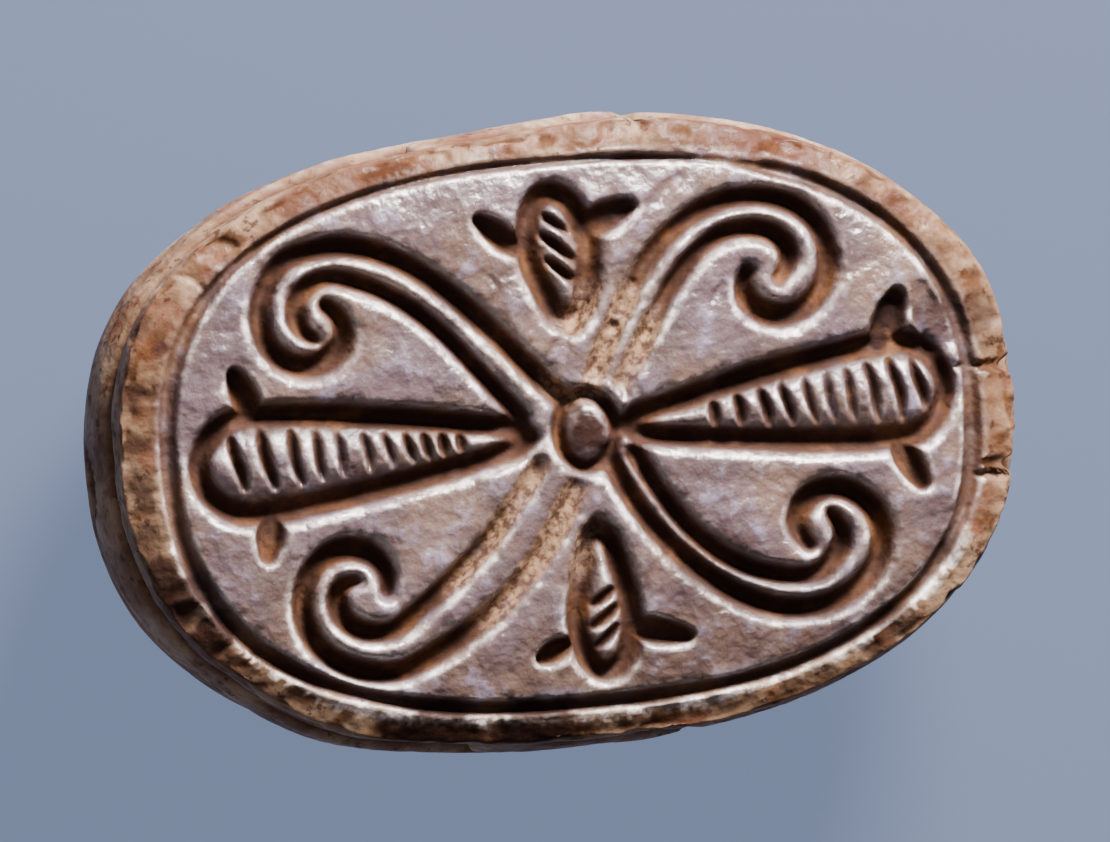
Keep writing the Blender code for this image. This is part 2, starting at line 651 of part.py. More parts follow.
def fit_to_size(bm):
    """Centre the plan on the origin and bring the extents to the driving sizes."""
    at = np.array([v.co for v in bm.verts])
    low = at.min(axis=0)
    high = at.max(axis=0)
    centre = np.append(0.5 * (low + high)[:2], low[2])
    grow = np.array([LENGTH, WIDTH, HEIGHT]) * MM / (high - low)
    for v in bm.verts:
        v.co = Vector((np.array(v.co) - centre) * grow)


def stone_material():
    material = bpy.data.materials.new("glazed_steatite")
    material.use_nodes = True
    shader = material.node_tree.nodes["Principled BSDF"]
    shader.inputs["Base Color"].default_value = (0.42, 0.33, 0.28, 1.0)
    shader.inputs["Roughness"].default_value = 0.5
    return material


def build_scarab():
    bm = bmesh.new()
    add_sheet(bm, *face_sheet())
    add_sheet(bm, *back_sheet())
    plan, depth, tris, mouths = side_sheet()
    add_sheet(bm, plan, depth, tris)
    tube = np.concatenate([m[0] for m in mouths])
    tube_depth = np.concatenate([m[1] for m in mouths])
    count = len(mouths[0][0])
    walls = []
    for i in range(count):
        j = (i + 1) % count
        walls += [(i, j, count + j), (i, count + j, count + i)]
    add_sheet(bm, tube, tube_depth, walls)
    bmesh.ops.remove_doubles(bm, verts=bm.verts, dist=0.000002)
    bmesh.ops.recalc_face_normals(bm, faces=bm.faces)
    fit_to_size(bm)
    mesh = bpy.data.meshes.new("scarab")
    bm.to_mesh(mesh)
    bm.free()
    scarab = bpy.data.objects.new("scarab", mesh)
    bpy.context.scene.collection.objects.link(scarab)
    mesh.materials.append(stone_material())
    return scarab


for old in list(bpy.data.objects):
    bpy.data.objects.remove(old, do_unlink=True)
build_scarab()
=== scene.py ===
"""Looks of the scarab amulet: one weathered, carved steatite scarab lying on its back.

Plan positions and depths are millimetres, as on the drawing of the solid; the mesh is
made in metres. +X runs to the beetle's head, depths run down from the carved face.
"""
from functools import partial

import bmesh
import bpy
import numpy as np
from mathutils import Matrix, Vector
from mathutils.geometry import delaunay_2d_cdt


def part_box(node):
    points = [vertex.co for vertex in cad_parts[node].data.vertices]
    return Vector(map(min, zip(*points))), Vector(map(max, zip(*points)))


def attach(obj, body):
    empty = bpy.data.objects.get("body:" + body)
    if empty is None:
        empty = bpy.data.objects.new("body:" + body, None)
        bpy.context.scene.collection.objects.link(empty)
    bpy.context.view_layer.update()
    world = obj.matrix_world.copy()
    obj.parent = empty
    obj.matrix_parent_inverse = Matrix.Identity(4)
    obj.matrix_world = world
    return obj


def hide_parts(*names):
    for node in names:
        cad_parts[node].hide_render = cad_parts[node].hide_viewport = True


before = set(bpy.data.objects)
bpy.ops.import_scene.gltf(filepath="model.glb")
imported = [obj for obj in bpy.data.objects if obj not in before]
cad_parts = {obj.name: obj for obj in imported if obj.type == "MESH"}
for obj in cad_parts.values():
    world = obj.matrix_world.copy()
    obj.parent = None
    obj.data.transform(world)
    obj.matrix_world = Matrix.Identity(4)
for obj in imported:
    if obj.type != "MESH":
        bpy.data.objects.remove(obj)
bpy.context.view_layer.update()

MM = 0.001

# Sizes of the stone, millimetres
LENGTH = 17.5
WIDTH = 11.8
HEIGHT = 7.6
PLINTH = 1.38
LEG_BAND = 1.9
BORE = 1.4
CUT_DEPTH = 0.38
BORDER_DEPTH = 0.24
LEG_RELIEF = 0.24
REST_FLAT = 0.07
PARTING = 0.14
LEG_TOP = PLINTH + 2 * PARTING
LEG_FOOT = LEG_TOP + LEG_BAND
WING_EDGE = LEG_FOOT + 2 * PARTING
BORE_DEPTH = LEG_TOP + 0.72 * LEG_BAND
DOME = HEIGHT - WING_EDGE + REST_FLAT
RIM_SHARE = 0.908
WING_SHARE = 0.985
SHOULDER_SHARE = 0.9
OUTLINE_POWER = 2.37
# Swellings of the outline: (direction and spread in degrees, rise)
UNEVEN = [(107, 15, -0.11), (72, 11, 0.09), (157, 9, 0.07), (-155, 13, -0.09),
          (-133, 6, 0.11), (-67, 9, 0.04), (17, 5, 0.05), (30, 8, -0.04)]
# Notches beside the head: (y, half width)
HEAD_NICKS = [(0.43, 0.2), (-1.52, 0.2)]
NICK_DEPTH = 0.2
# Border line: half length, half width, power, turn in degrees
BORDER = (7.55, 5.03, 2.5, -0.9)
BORDER_HALF = 0.13
# Side of the stone: (depth below the face, share of the widest outline)
SIDE_PROFILE = [
    (0, RIM_SHARE), (0.08, 0.93), (0.25, 0.948), (0.55, 0.961), (1, 0.968), (PLINTH, 0.966),
    (PLINTH + PARTING, 0.944), (LEG_TOP, 0.972), (LEG_TOP + 0.2 * LEG_BAND, 0.99),
    (LEG_TOP + 0.5 * LEG_BAND, 1), (LEG_TOP + 0.8 * LEG_BAND, 0.996), (LEG_FOOT, 0.982),
    (LEG_FOOT + PARTING, 0.962), (WING_EDGE, WING_SHARE),
]

# Scroll cuts: a stem from the root, in degrees of heading, into a curl about the eye. The curl
# has its first and last radius, start and sweep in degrees, the power of its closing and its turn.
OUTER_HALF = 0.28
INNER_HALF = 0.24
SCROLL_KEYS = ("root", "heading", "eye", "curl", "start", "sweep", "power", "turn", "half", "root_depth")
SCROLL_ROWS = [
    ((-0.2, 0.7), 132, (-4.62, 2.44), (1.34, 0.46), 112, 302, 0.56, 1, OUTER_HALF, 0.95),
    ((-0.93, 0.4), 130, (-4.43, 2.56), (0.82, 0.38), 74, 170, 0.73, 1, INNER_HALF, 0.95),
    ((0.49, 1.02), 64, (3.9, 2.7), (1.28, 0.3), 75, 248, 2.47, -1, OUTER_HALF, 0.55),
    ((1.01, 0.84), 55, (3.9, 2.76), (0.6, 0.4), 65, 116, 1.29, -1, INNER_HALF, 0.55),
    ((-0.04, -0.98), -120, (-4.26, -2.51), (1.69, 0.5), 290, 299, 0.69, -1, OUTER_HALF, 0.55),
    ((-0.73, -0.53), -126, (-4.26, -2.5), (1, 0.2), 304, 203, 0.73, -1, INNER_HALF, 0.55),
    ((0.62, -0.5), -72, (4.54, -2.45), (1.08, 0.34), 311, 245, 2.5, 1, OUTER_HALF, 0.95),
    ((1.1, -0.5), -65, (4.37, -2.35), (0.77, 0.45), 273, 135, 0.34, 1, INNER_HALF, 0.95),
]
SCROLL_CUTS = [dict(zip(SCROLL_KEYS, row)) for row in SCROLL_ROWS]

# Buds: tip and end, half width, share where it is widest, bluntness, half width of the groove
# and its clearance, places of the cuts across, their lean, and the share of the half that they span
BUD_KEYS = ("tip", "end", "half", "widest", "blunt", "groove", "clear", "cuts", "lean", "span")
BUD_ROWS = [
    ((-1, 0), (-6.82, 0), 0.77, 0.86, 2, 0.28, 0.17,
     [1.11, 1.41, 1.72, 2.06, 2.46, 2.87, 3.36, 3.76, 4.19, 4.72, 5.27], -0.14, (-0.9, 0.55)),
    ((1.2, 0.02), (6.92, 0.17), 0.76, 0.87, 2, 0.28, 0.17,
     [1.48, 1.95, 2.44, 2.87, 3.31, 3.69, 4.07, 4.51, 4.97, 5.41], -0.12, (-0.72, 0.86)),
    ((0.16, 2.28), (0.03, 4.22), 0.36, 0.62, 1.3, 0.31, 0.24, [0.72, 1.16, 1.62], 1, (-0.9, 0.9)),
    ((0.27, -2), (0.21, -4.3), 0.35, 0.66, 1.8, 0.27, 0.18, [1.1, 1.46, 1.84], -0.75, (-0.8, 0.9)),
]
BUDS = [dict(zip(BUD_KEYS, row)) for row in BUD_ROWS]
BUD_SWELL = 0.22
BUD_CUT_HALF = 0.135
BUD_CUT_DEPTH = 0.3
# Leaf cuts: start, tip, half width
LEAVES = [
    ((-5.94, 0.97), (-6.17, 1.68), 0.29), ((-5.76, -0.96), (-5.9, -1.68), 0.29),
    ((5.93, 1.02), (6.33, 1.88), 0.34), ((6.1, -0.92), (6.46, -1.62), 0.28),
    ((-0.7, 3.5), (-1.32, 4.08), 0.26), ((0.6, 3.76), (1.46, 4.07), 0.33),
    ((-0.56, -3.92), (-1.02, -4.11), 0.22), ((0.75, -3.72), (1.72, -3.97), 0.27),
]
LEAF_DEPTH = 1.2 * CUT_DEPTH
BOSS = dict(centre=(0.26, 0.01), ring=(0.54, 0.68), half=0.17)

# Legs, each by three points: (x, share of the leg band)
LEGS = [
    [(2.5, 0.95), (4.4, 0.66), (6.9, 0.22)],
    [(1.7, 0.95), (0.3, 0.5), (-1.9, 0.22)],
    [(-0.6, 0.95), (-3.6, 0.66), (-6.9, 0.22)],
]
LEG_HALF = 0.36
LEG_EDGE = 0.16
BRISTLE_SPACING = 0.34
BRISTLE_REACH = 0.22
CREST = -0.4
PRONOTUM_LINE = 2.1
PRONOTUM_FRONT = 5.2
HEAD_HALF = 1.6
HEAD_END = 6.75
HEAD_SLOPE = 0.3

# Wear of the carving, millimetres
EDGE_ROUND = 0.072
EDGE_DEEPEN = 1.3
FACE_DOME = 0.15
RIM_FALL = 0.09
RIM_WEAR = 0.08
WEAR_FROM = 0.83
LEDGE_DEPTH = 0.09
CREASE_DEPTH = 0.025
NIBBLE = 0.02
RIM_MEAN = 6.3
RIM_CHIPS = 40
# Unevenness of the face: (depth, size, seed)
FACE_LUMPS = [(0.026, 1.5, 63), (0.012, 0.5, 64), (0.004, 0.16, 66)]
# Where old grit still fills the cuts: (x, y, radius)
SAND_SPOTS = [(0.9, 1.7, 1.1), (-0.9, -1.7, 1.3), (0.2, 1.1, 0.7), (-1.9, -2.7, 0.8)]
# Flakes off the face and the rim: (x, y, half length, half width, turn in degrees, depth)
FLAKES = [
    (6.92, 1.42, 0.78, 0.38, -72, 0.2), (2.15, 4.28, 0.6, 0.15, 35, 0.07),
    (-7.25, -2.75, 0.62, 0.18, 118, 0.16), (2.95, 2.3, 0.3, 0.07, 55, 0.06),
    (-0.15, 1.45, 0.42, 0.28, 60, 0.06), (-6.05, 3.95, 0.36, 0.2, 45, 0.1),
    (-4.4, 4.95, 0.55, 0.16, 22, 0.1), (-1.9, 5.42, 0.85, 0.17, 8, 0.12),
    (1.6, 5.45, 0.55, 0.16, -4, 0.1), (4.4, 4.95, 0.8, 0.2, -24, 0.12),
    (7.82, 1.45, 0.35, 0.18, 110, 0.1), (6.55, -3.1, 0.55, 0.13, 55, 0.1),
    (5.2, -4.62, 0.5, 0.12, 30, 0.08), (-2.3, -5.38, 1.3, 0.12, 0, 0.07),
    (0.95, 1.89, 0.15, 0.11, 60, 0.11), (0.29, 2.17, 0.14, 0.1, 70, 0.1),
    (1.43, 2.58, 0.16, 0.09, 65, 0.1), (1.59, 1.7, 0.13, 0.1, 50, 0.09),
    (1.03, 0.58, 0.14, 0.1, 60, 0.09),
]
# Cracks and cuts, as polylines with a half width and a depth
CRACKS = [
    ([(-1.72, 2.02), (-1.55, 2.2), (-1.36, 2.42), (-1.12, 2.75), (-1.27, 3.04)], 0.035, 0.07),
    ([(-2.46, 4.28), (-2.16, 3.6), (-1.62, 3.32), (-1.27, 3.04)], 0.025, 0.02),
    ([(-6.29, 4.49), (-6.69, 4.07), (-6.71, 3.7), (-6.56, 3.31)], 0.07, 0.1),
    ([(-7.68, -2.41), (-7.37, -3.09), (-7.15, -3.58), (-6.75, -3.34), (-6.67, -2.98)], 0.09, 0.12),
    ([(-2.61, 1.14), (-2.31, 1.29), (-2.09, 1.55)], 0.03, 0.03),
    ([(3.2, -1.06), (3.91, -1.51), (3.99, -1.7)], 0.03, 0.03),
    ([(7.35, 0.47), (8.15, 0.42)], 0.12, 0.22),
    ([(7.3, -1.62), (8.15, -1.52)], 0.11, 0.2),
]
# Dark stains in the stone, and some patches of painted shade on the lower face: (x, y, radius, strength)
STAINS_AND_SHADE = [
    (-7.65, -2.3, 0.75, 1), (-7.05, -2.95, 0.5, 1), (-8.1, -1.2, 0.45, 0.7),
    (-3.1, -5.35, 1, 1), (-1.3, -5.6, 1, 1), (-8.1, 1.57, 0.3, 0.8),
    (-8.12, 0.62, 0.3, 0.8), (-8.05, -0.2, 0.34, 0.9), (-8.12, -1.02, 0.28, 0.8),
    (-7.8, -1.8, 0.45, 1), (-7.75, 2.7, 0.22, 0.7), (-7.45, 2.35, 0.2, 0.7),
    (7.8, 1.35, 0.42, 0.8), (6.7, -2.9, 0.45, 0.6), (5.7, -4.2, 0.4, 0.7),
    (0.28, -0.04, 0.5, 1), (1.52, -2.35, 0.16, 0.8), (6.2, 1.52, 0.36, 1), (6.95, 1.45, 0.6, 0.7),
    (5.95, 1.08, 0.28, 1), (-1.9, 3.1, 1, 0.38), (4.2, -3.9, 0.9, 0.6), (5.3, -3.3, 0.6, 0.3),
    (-5.6, 0, 0.9, 0.3), (-4.1, 0, 0.7, 0.3), (-2.8, 0, 0.5, 0.3),
    (5.3, 0.1, 0.9, 0.3), (3.8, 0.1, 0.7, 0.3), (2.4, 0.05, 0.5, 0.3),
    # This row, and (4.2, -3.9) and (5.3, -3.3) above, are painted shade: the bottom of the face darkened
    # where the light falls off
    (2.4, -3.2, 1.4, 0.48), (-1.5, -4.3, 1.1, 0.25), (1.3, -4.5, 1, 0.25),
]
# Red-brown patches on the rim, in the same form
RUST = [
    (2.5, 5.5, 0.6, 0.8), (3.2, 5.3, 0.6, 1), (3.9, 5.1, 0.62, 1),
    (4.5, 4.85, 0.55, 1), (5.1, 4.6, 0.45, 0.9), (6.5, 3.68, 0.32, 0.8),
    (-2.6, 5.45, 0.5, 0.8), (-3.6, 5.2, 0.6, 0.9), (-4.6, 4.85, 0.5, 0.9),
    (0.6, 5.6, 0.4, 0.5), (7.7, 1.95, 0.35, 0.6), (7.6, -2, 0.4, 0.6),
]

# Mesh spacing and the maps that the depths are carved in, millimetres
FACE_FINE = 0.051
FACE_COARSE = 0.095
RIM_STEP = 0.08
SIDE_STEP = 0.12
BACK_STEP = 0.13
RING_POINTS = 560
MOUTH_POINTS = 48
BORE_ROWS = 40
STRIP_ROUND = 48
STRIP_OVER = 1.7
FACE_MAP = 0.02
SIDE_MAP = 0.03
PLAN_LOW = (-8.9, -6.1)
PLAN_HIGH = (8.9, 6.1)
SHEET_LOW = (-8.3, -5.6)
SHEET_HIGH = (8.3, 5.6)
# Of these, the pale edges also carry painted highlight, and the stains also carry painted shade
MASKS = ("hollow", "lip", "sand", "field", "weather", "stain_and_shade", "rust")

# Inputs of the weathering, metres
WEATHERING = [("Hollow size", 0.0011), ("Hollow depth", 0.000045), ("Pit size", 0.00028),
              ("Pit depth", 0.00006), ("Grain size", 0.00009), ("Grain depth", 0.000007)]
# Inputs of the blotches, whose scale is per millimetre
BLOTCHES = [("Scale", 1), ("Low", 0.4), ("High", 0.6), ("Detail", 4)]

# Colours as they show on screen, 0 to 255
MAUVE = (81, 64, 67)
WARM_GREY = (92, 71, 62)
# The next two colours are painted reflection: the bluish sheen of the glossy field and the darker patches
# between
PAINTED_BLUE_SHEEN = (130, 120, 140)
DARK_SHEEN_GAP = (60, 46, 44)
CREAM = (126, 101, 80)
TAN = (88, 61, 43)
RED_BROWN = (84, 46, 31)
DARK_SPECK = (50, 28, 21)
RUST_BROWN = (68, 34, 22)
# Pale of worn edges, also used as painted highlight on the edges facing the light
RUBBED_WHITE_AND_HIGHLIGHT = (252, 238, 232)
PALE_GRIT = (132, 102, 76)
DARK_GRIT = (68, 43, 27)
DEEP_DIRT = (46, 25, 13)
DRY_DIRT = (84, 51, 27)
# Dark of stains, also used for patches of painted shade
BLACK_STAIN_AND_SHADE = (36, 21, 17)
FLOOR_SHADE = (38, 43, 54)
FLOOR_GLOW = (134, 149, 184)

# Lights: name, direction from the stone, distance and size in metres, power, colour
LIGHTS = [
    ("raking_light", (0.32, 0.78, 0.5), 0.1, 0.036, 0.92, (1, 0.965, 0.94)),
    ("left_fill", (-0.75, -0.6, 0.28), 0.45, 0.35, 0.46, (1, 0.95, 0.97)),
    ("sheen_light", (0.17, -0.02, 0.985), 0.3, 0.06, 0.05, (0.86, 0.88, 1)),
    ("soft_fill", (-0.4, 0.3, 0.9), 0.6, 0.5, 0.35, (0.9, 0.94, 1)),
]
SKY = (0.92, 0.92, 1, 1)
SKY_STRENGTH = 0.11

# The photograph's view: roll and tips in degrees, distance in millimetres, then in its pixels
VIEW_TURNS = (6.1, 9.5, 0.4)
VIEW_DISTANCE = 260
PIXELS_PER_MM = 54
PHOTO_WIDTH = 1110
PHOTO_CENTRE = (555, 421)
STONE_CENTRE = (574.8, 431.4)
SENSOR = 36


def smooth(edge0, edge1, value):
    t = np.clip((value - edge0) / (edge1 - edge0), 0, 1)
    return t * t * (3 - 2 * t)


def superellipse(half_x, half_y, power, angle):
    c = np.cos(angle)
    s = np.sin(angle)
    r = (np.abs(c / half_x) ** power + np.abs(s / half_y) ** power) ** (-1 / power)
    return np.stack([r * c, r * s], axis=-1)


def resample(line, step):
    """The polyline with evenly spaced points about `step` apart."""
    lengths = np.hypot(*np.diff(line, axis=0).T)
    along = np.concatenate([[0], np.cumsum(lengths)])
    count = max(2, int(round(along[-1] / step)) + 1)
    at = np.linspace(0, along[-1], count)
    return np.stack([np.interp(at, along, line[:, 0]), np.interp(at, along, line[:, 1])], axis=1)


def noise(points, size, seed):
    """Smooth noise from -1 to 1 with features of about `size`, the same on every run."""
    rng = np.random.RandomState(seed)
    table = rng.uniform(-1, 1, (64, 64))
    p = np.asarray(points) / size + 31.7
    cell = np.floor(p).astype(int)
    f = p - cell
    f = f * f * (3 - 2 * f)
    i, j = cell[..., 0] % 64, cell[..., 1] % 64
    i1, j1 = (i + 1) % 64, (j + 1) % 64
    low = table[i, j] * (1 - f[..., 0]) + table[i1, j] * f[..., 0]
    high = table[i, j1] * (1 - f[..., 0]) + table[i1, j1] * f[..., 0]
    return low * (1 - f[..., 1]) + high * f[..., 1]


class Relief:
    """A map of cut depths over a plan, carved stroke by stroke."""

    def __init__(self, low, high, step):
        self.low = np.array(low, float)
        self.step = step
        counts = np.ceil((np.array(high) - self.low) / step).astype(int) + 1
        self.x = self.low[0] + step * np.arange(counts[0])
        self.y = self.low[1] + step * np.arange(counts[1])
        self.plan = np.stack(np.meshgrid(self.x, self.y, indexing="ij"), axis=-1)
        self.depth = np.zeros(counts)

    def window(self, low, high):
        """The slices of the map that cover a plan rectangle."""
        spans = []
        for axis, count in enumerate(self.depth.shape):
            ends = (np.array([low[axis], high[axis]]) - self.low[axis]) / self.step
            first, last = np.clip(np.floor(ends) + (0, 2), 0, count)
            spans.append(slice(int(first), int(last)))
        return tuple(spans)

    def noise(self, size, seed):
        return noise(self.plan, size, seed)

    def carve(self, line, half, deep, floor=0.25):
        """A groove along the polyline; its half width and depth may change from point to point."""
        half = np.broadcast_to(half, len(line))
        deep = np.broadcast_to(deep, len(line))
        for k in range(len(line) - 1):
            a, b = line[k], line[k + 1]
            reach = max(half[k], half[k + 1]) + self.step
            spot = self.window(np.minimum(a, b) - reach, np.maximum(a, b) + reach)
            p = self.plan[spot] - a
            ab = b - a
            t = np.clip(p @ ab / max(ab @ ab, 1e-12), 0, 1)
            d = np.hypot(p[..., 0] - t * ab[0], p[..., 1] - t * ab[1])
            h = half[k] + t * (half[k + 1] - half[k])
            cut = (deep[k] + t * (deep[k + 1] - deep[k])) * (1 - smooth(floor * h, h, d))
            self.depth[spot] = np.maximum(self.depth[spot], cut)

    def blurred(self, sigma, values=None):
        """The map, or other values over it, softened by a Gaussian of the given width."""
        values = self.depth if values is None else values
        reach = int(np.ceil(3 * sigma / self.step))
        kernel = np.exp(-0.5 * (np.arange(-reach, reach + 1) * self.step / sigma) ** 2)
        kernel /= kernel.sum()
        padded = np.pad(values, reach, mode="edge")
        rows = sum(w * padded[k:k + values.shape[0], :] for k, w in enumerate(kernel))
        return sum(w * rows[:, k:k + values.shape[1]] for k, w in enumerate(kernel))

    def at(self, points, values=None):
        """The map, or other values over it, read between its cells."""
        values = self.depth if values is None else values
        q = (np.asarray(points) - self.low) / self.step
        i = np.clip(np.floor(q[:, 0]).astype(int), 0, len(self.x) - 2)
        j = np.clip(np.floor(q[:, 1]).astype(int), 0, len(self.y) - 2)
        fx = np.clip(q[:, 0] - i, 0, 1)
        fy = np.clip(q[:, 1] - j, 0, 1)
        low = values[i, j] * (1 - fx) + values[i + 1, j] * fx
        high = values[i, j + 1] * (1 - fx) + values[i + 1, j + 1] * fx
        return low * (1 - fy) + high * fy


def scroll_line(s):
    """Middle line of one scroll cut: a stem running into a curl."""
    start = np.radians(s["start"])
    f = np.linspace(0, 1, 60)
    angle = start + s["turn"] * np.radians(s["sweep"]) * f
    radius = s["curl"][0] + (s["curl"][1] - s["curl"][0]) * f ** s["power"]
    curl = np.array(s["eye"]) + radius[:, None] * np.stack([np.cos(angle), np.sin(angle)], axis=1)
    root = np.array(s["root"])
    heading = np.radians(s["heading"])
    reach = 0.4 * np.hypot(*(curl[0] - root))
    away = reach * np.array([np.cos(heading), np.sin(heading)])
    tangent = s["turn"] * reach * np.array([-np.sin(start), np.cos(start)])
    t = np.linspace(0, 1, 40)[:-1, None]
    stem = ((1 - t) ** 3 * root + 3 * (1 - t) ** 2 * t * (root + away)
            + 3 * (1 - t) * t ** 2 * (curl[0] - tangent) + t ** 3 * curl[0])
    line = resample(np.concatenate([stem, curl]), 0.1)
    for _ in range(6):
        line[1:-1] = 0.25 * line[:-2] + 0.5 * line[1:-1] + 0.25 * line[2:]
    return line


def bud_frame(bud):
    tip = np.array(bud["tip"])
    axis = np.array(bud["end"]) - tip
    length = np.hypot(*axis)
    axis = axis / length
    return tip, axis, np.array([-axis[1], axis[0]]), length


def bud_half(bud, t):
    """Half width of a bud at the share t of its length."""
    rise = 1 - np.clip(1 - t / bud["widest"], 0, 1) ** 1.4
    fall = np.clip((t - bud["widest"]) / (1 - bud["widest"]), 0, 1)
    close = np.maximum(1 - fall ** bud["blunt"], 0) ** 0.55
    return bud["half"] * rise * close


def bud_outline(bud, grow):
    """Closed outline of the bud grown by a clearance."""
    tip, axis, side, length = bud_frame(bud)
    t = 0.5 - 0.5 * np.cos(np.linspace(0, np.pi, 60))
    half = bud_half(bud, t)
    upper = tip + np.outer(t * length, axis) + np.outer(half, side)
    lower = tip + np.outer(t * length, axis) - np.outer(half, side)
    loop = np.concatenate([upper, lower[-2:0:-1]])
    loop = resample(np.concatenate([loop, loop[:1]]), 0.08)[:-1]
    tangent = np.roll(loop, -1, axis=0) - np.roll(loop, 1, axis=0)
    tangent /= np.hypot(*tangent.T)[:, None]
    outward = np.stack([-tangent[:, 1], tangent[:, 0]], axis=1)
    return np.concatenate([loop + grow * outward, (loop + grow * outward)[:1]])


def carve_scrolls(face):
    for k, s in enumerate(SCROLL_CUTS):
        line = scroll_line(s)
        share = np.linspace(0, 1, len(line))
        worn = s["root_depth"] + (1 - s["root_depth"]) * smooth(0.1, 0.42, share)
        half = s["half"] * (1 + 0.15 * smooth(0.7, 0.88, share) - 0.45 * smooth(0.9, 1, share))
        half = half * (1 + 0.08 * noise(line, 0.9, 10 + k))
        face.carve(line, half, CUT_DEPTH * worn * (1 + 0.1 * noise(line, 1.3, 20 + k)), 0.22)


def carve_buds(face):
    for k, bud in enumerate(BUDS):
        tip, axis, side, length = bud_frame(bud)
        p = face.plan - tip
        u = p @ axis / length
        half = np.where((u > 0) & (u < 1), bud_half(bud, np.clip(u, 0, 1)), 0)
        core = np.clip(1 - np.abs(p @ side) / np.maximum(half, 1e-6), 0, 1)
        swell = 0.02 + BUD_SWELL * (1 - core) ** 2.2
        face.depth = np.where(core > 0, np.maximum(face.depth, swell), face.depth)
        loop = bud_outline(bud, bud["clear"])
        face.carve(loop, bud["groove"] * (1 + 0.08 * noise(loop, 0.8, 30 + k)), CUT_DEPTH, 0.2)


def carve_hatches(face):
    """The cuts across the buds."""
    for bud in BUDS:
        tip, axis, side, length = bud_frame(bud)
        for n, at in enumerate(bud["cuts"]):
            s = bud_half(bud, np.array(at / length)) * np.linspace(*bud["span"], 7)
            line = tip + np.outer(at + bud["lean"] * s + 0.03 * np.sin(5 * s + n), axis) + np.outer(s, side)
            taper = np.array([0.75, 0.9, 1, 1, 1, 0.9, 0.75]) * (1 + 0.15 * np.sin(7 * n + 1))
            face.carve(line, BUD_CUT_HALF * taper, BUD_CUT_DEPTH * taper, 0.3)


def carve_leaves(face):
    for start, tip, half in LEAVES:
        t = np.linspace(0, 1, 9)
        line = np.array(start) * (1 - t[:, None]) + np.array(tip) * t[:, None]
        belly = 0.35 + 0.75 * np.sin(np.pi * (0.2 + 0.7 * t))
        face.carve(line, half * belly + 0.03, LEAF_DEPTH * (1 - 0.2 * t), 0.4)


def carve_boss(face):
    centre = np.array(BOSS["centre"])
    turn = np.linspace(0, 2 * np.pi, 49)
    ring = np.stack([np.cos(turn), np.sin(turn)], axis=1) * BOSS["ring"]
    face.carve(centre + ring, BOSS["half"], CUT_DEPTH, 0.25)
    r = np.hypot(*np.moveaxis((face.plan - centre) / BOSS["ring"], -1, 0))
    face.depth = np.where(r < 0.9, np.maximum(face.depth, 0.03 + 0.1 * r ** 2), face.depth)


def border_line(grow, count):
    half_x, half_y, power, turn = BORDER
    loop = superellipse(half_x + grow, half_y + grow, power, np.linspace(0, 2 * np.pi, count + 1)[:-1])
    a = np.radians(turn)
    return loop @ np.array([[np.cos(a), np.sin(a)], [-np.sin(a), np.cos(a)]])


def carve_border(face):
    loop = border_line(0, 420)
    loop = np.concatenate([loop, loop[:1]])
    loop = loop * (1 + 0.0025 * noise(loop, 1.6, 41))[:, None]
    x, y = loop.T
    half = BORDER_HALF * (1 + 0.18 * noise(loop, 1.1, 42))
    half = half + 0.1 * smooth(6.9, 7.5, x) + 0.06 * smooth(0, -4, y) + 0.08 * smooth(-5, -7, x)
    top = smooth(1.5, 3.5, y)
    half = half * (1 - 0.2 * top) + 0.1 * top * smooth(3.4, 4.4, x)
    worn = 0.8 * np.exp(-((x - 3.3) / 0.7) ** 2)
    deep = BORDER_DEPTH * (1 + 0.25 * noise(loop, 1.5, 43)) * (1 - 0.2 * top - 0.7 * top * worn)
    before = face.depth.copy()
    face.carve(loop, half, deep, 0.15)
    face.border = face.depth - before


def margin_share(plan):
    """How far a plan position lies outside the border line, in shares of the border's size."""
    return np.sum(np.abs(plan / (BORDER[0], BORDER[1])) ** BORDER[2], axis=-1) ** (1 / BORDER[2])


def scoop(face, x, y, long, wide, turn, deep, seed):
    """A flake broken away: a shallow tilted scoop with a ragged edge."""
    reach = 1.3 * max(long, wide)
    spot = face.window((x - reach, y - reach), (x + reach, y + reach))
    a = np.radians(turn)
    p = face.plan[spot] - (x, y)
    u = (p[..., 0] * np.cos(a) + p[..., 1] * np.sin(a)) / long
    v = (-p[..., 0] * np.sin(a) + p[..., 1] * np.cos(a)) / wide
    r = np.hypot(u, v) * (1 + 0.25 * noise(face.plan[spot], 0.22, seed))
    face.depth[spot] += deep * (1 - smooth(0.65, 1, r)) * (0.8 + 0.25 * u - 0.2 * v)


def carve_damage(face):
    for k, flake in enumerate(FLAKES):
        scoop(face, *flake, 50 + k)
    for line, half, deep in CRACKS:
        face.carve(resample(np.array(line), 0.1), half, deep, 0)
    rng = np.random.RandomState(11)
    for k in range(RIM_CHIPS):
        turn = rng.uniform(0, 360)
        size = 0.12 + 0.75 * rng.uniform() ** 2
        deep = rng.uniform(0.015, 0.055) * (1.3 if turn < 180 else 0.8)
        out = rng.uniform(0.15, 0.55)
        x, y = superellipse(BORDER[0] + out, BORDER[1] + out, BORDER[2], np.radians(turn))
        along = np.degrees(np.arctan2(-x / BORDER[0] ** 2, y / BORDER[1] ** 2))
        scoop(face, x, y, size, rng.uniform(0.1, 0.22), along + rng.uniform(-14, 14), deep, 200 + k)


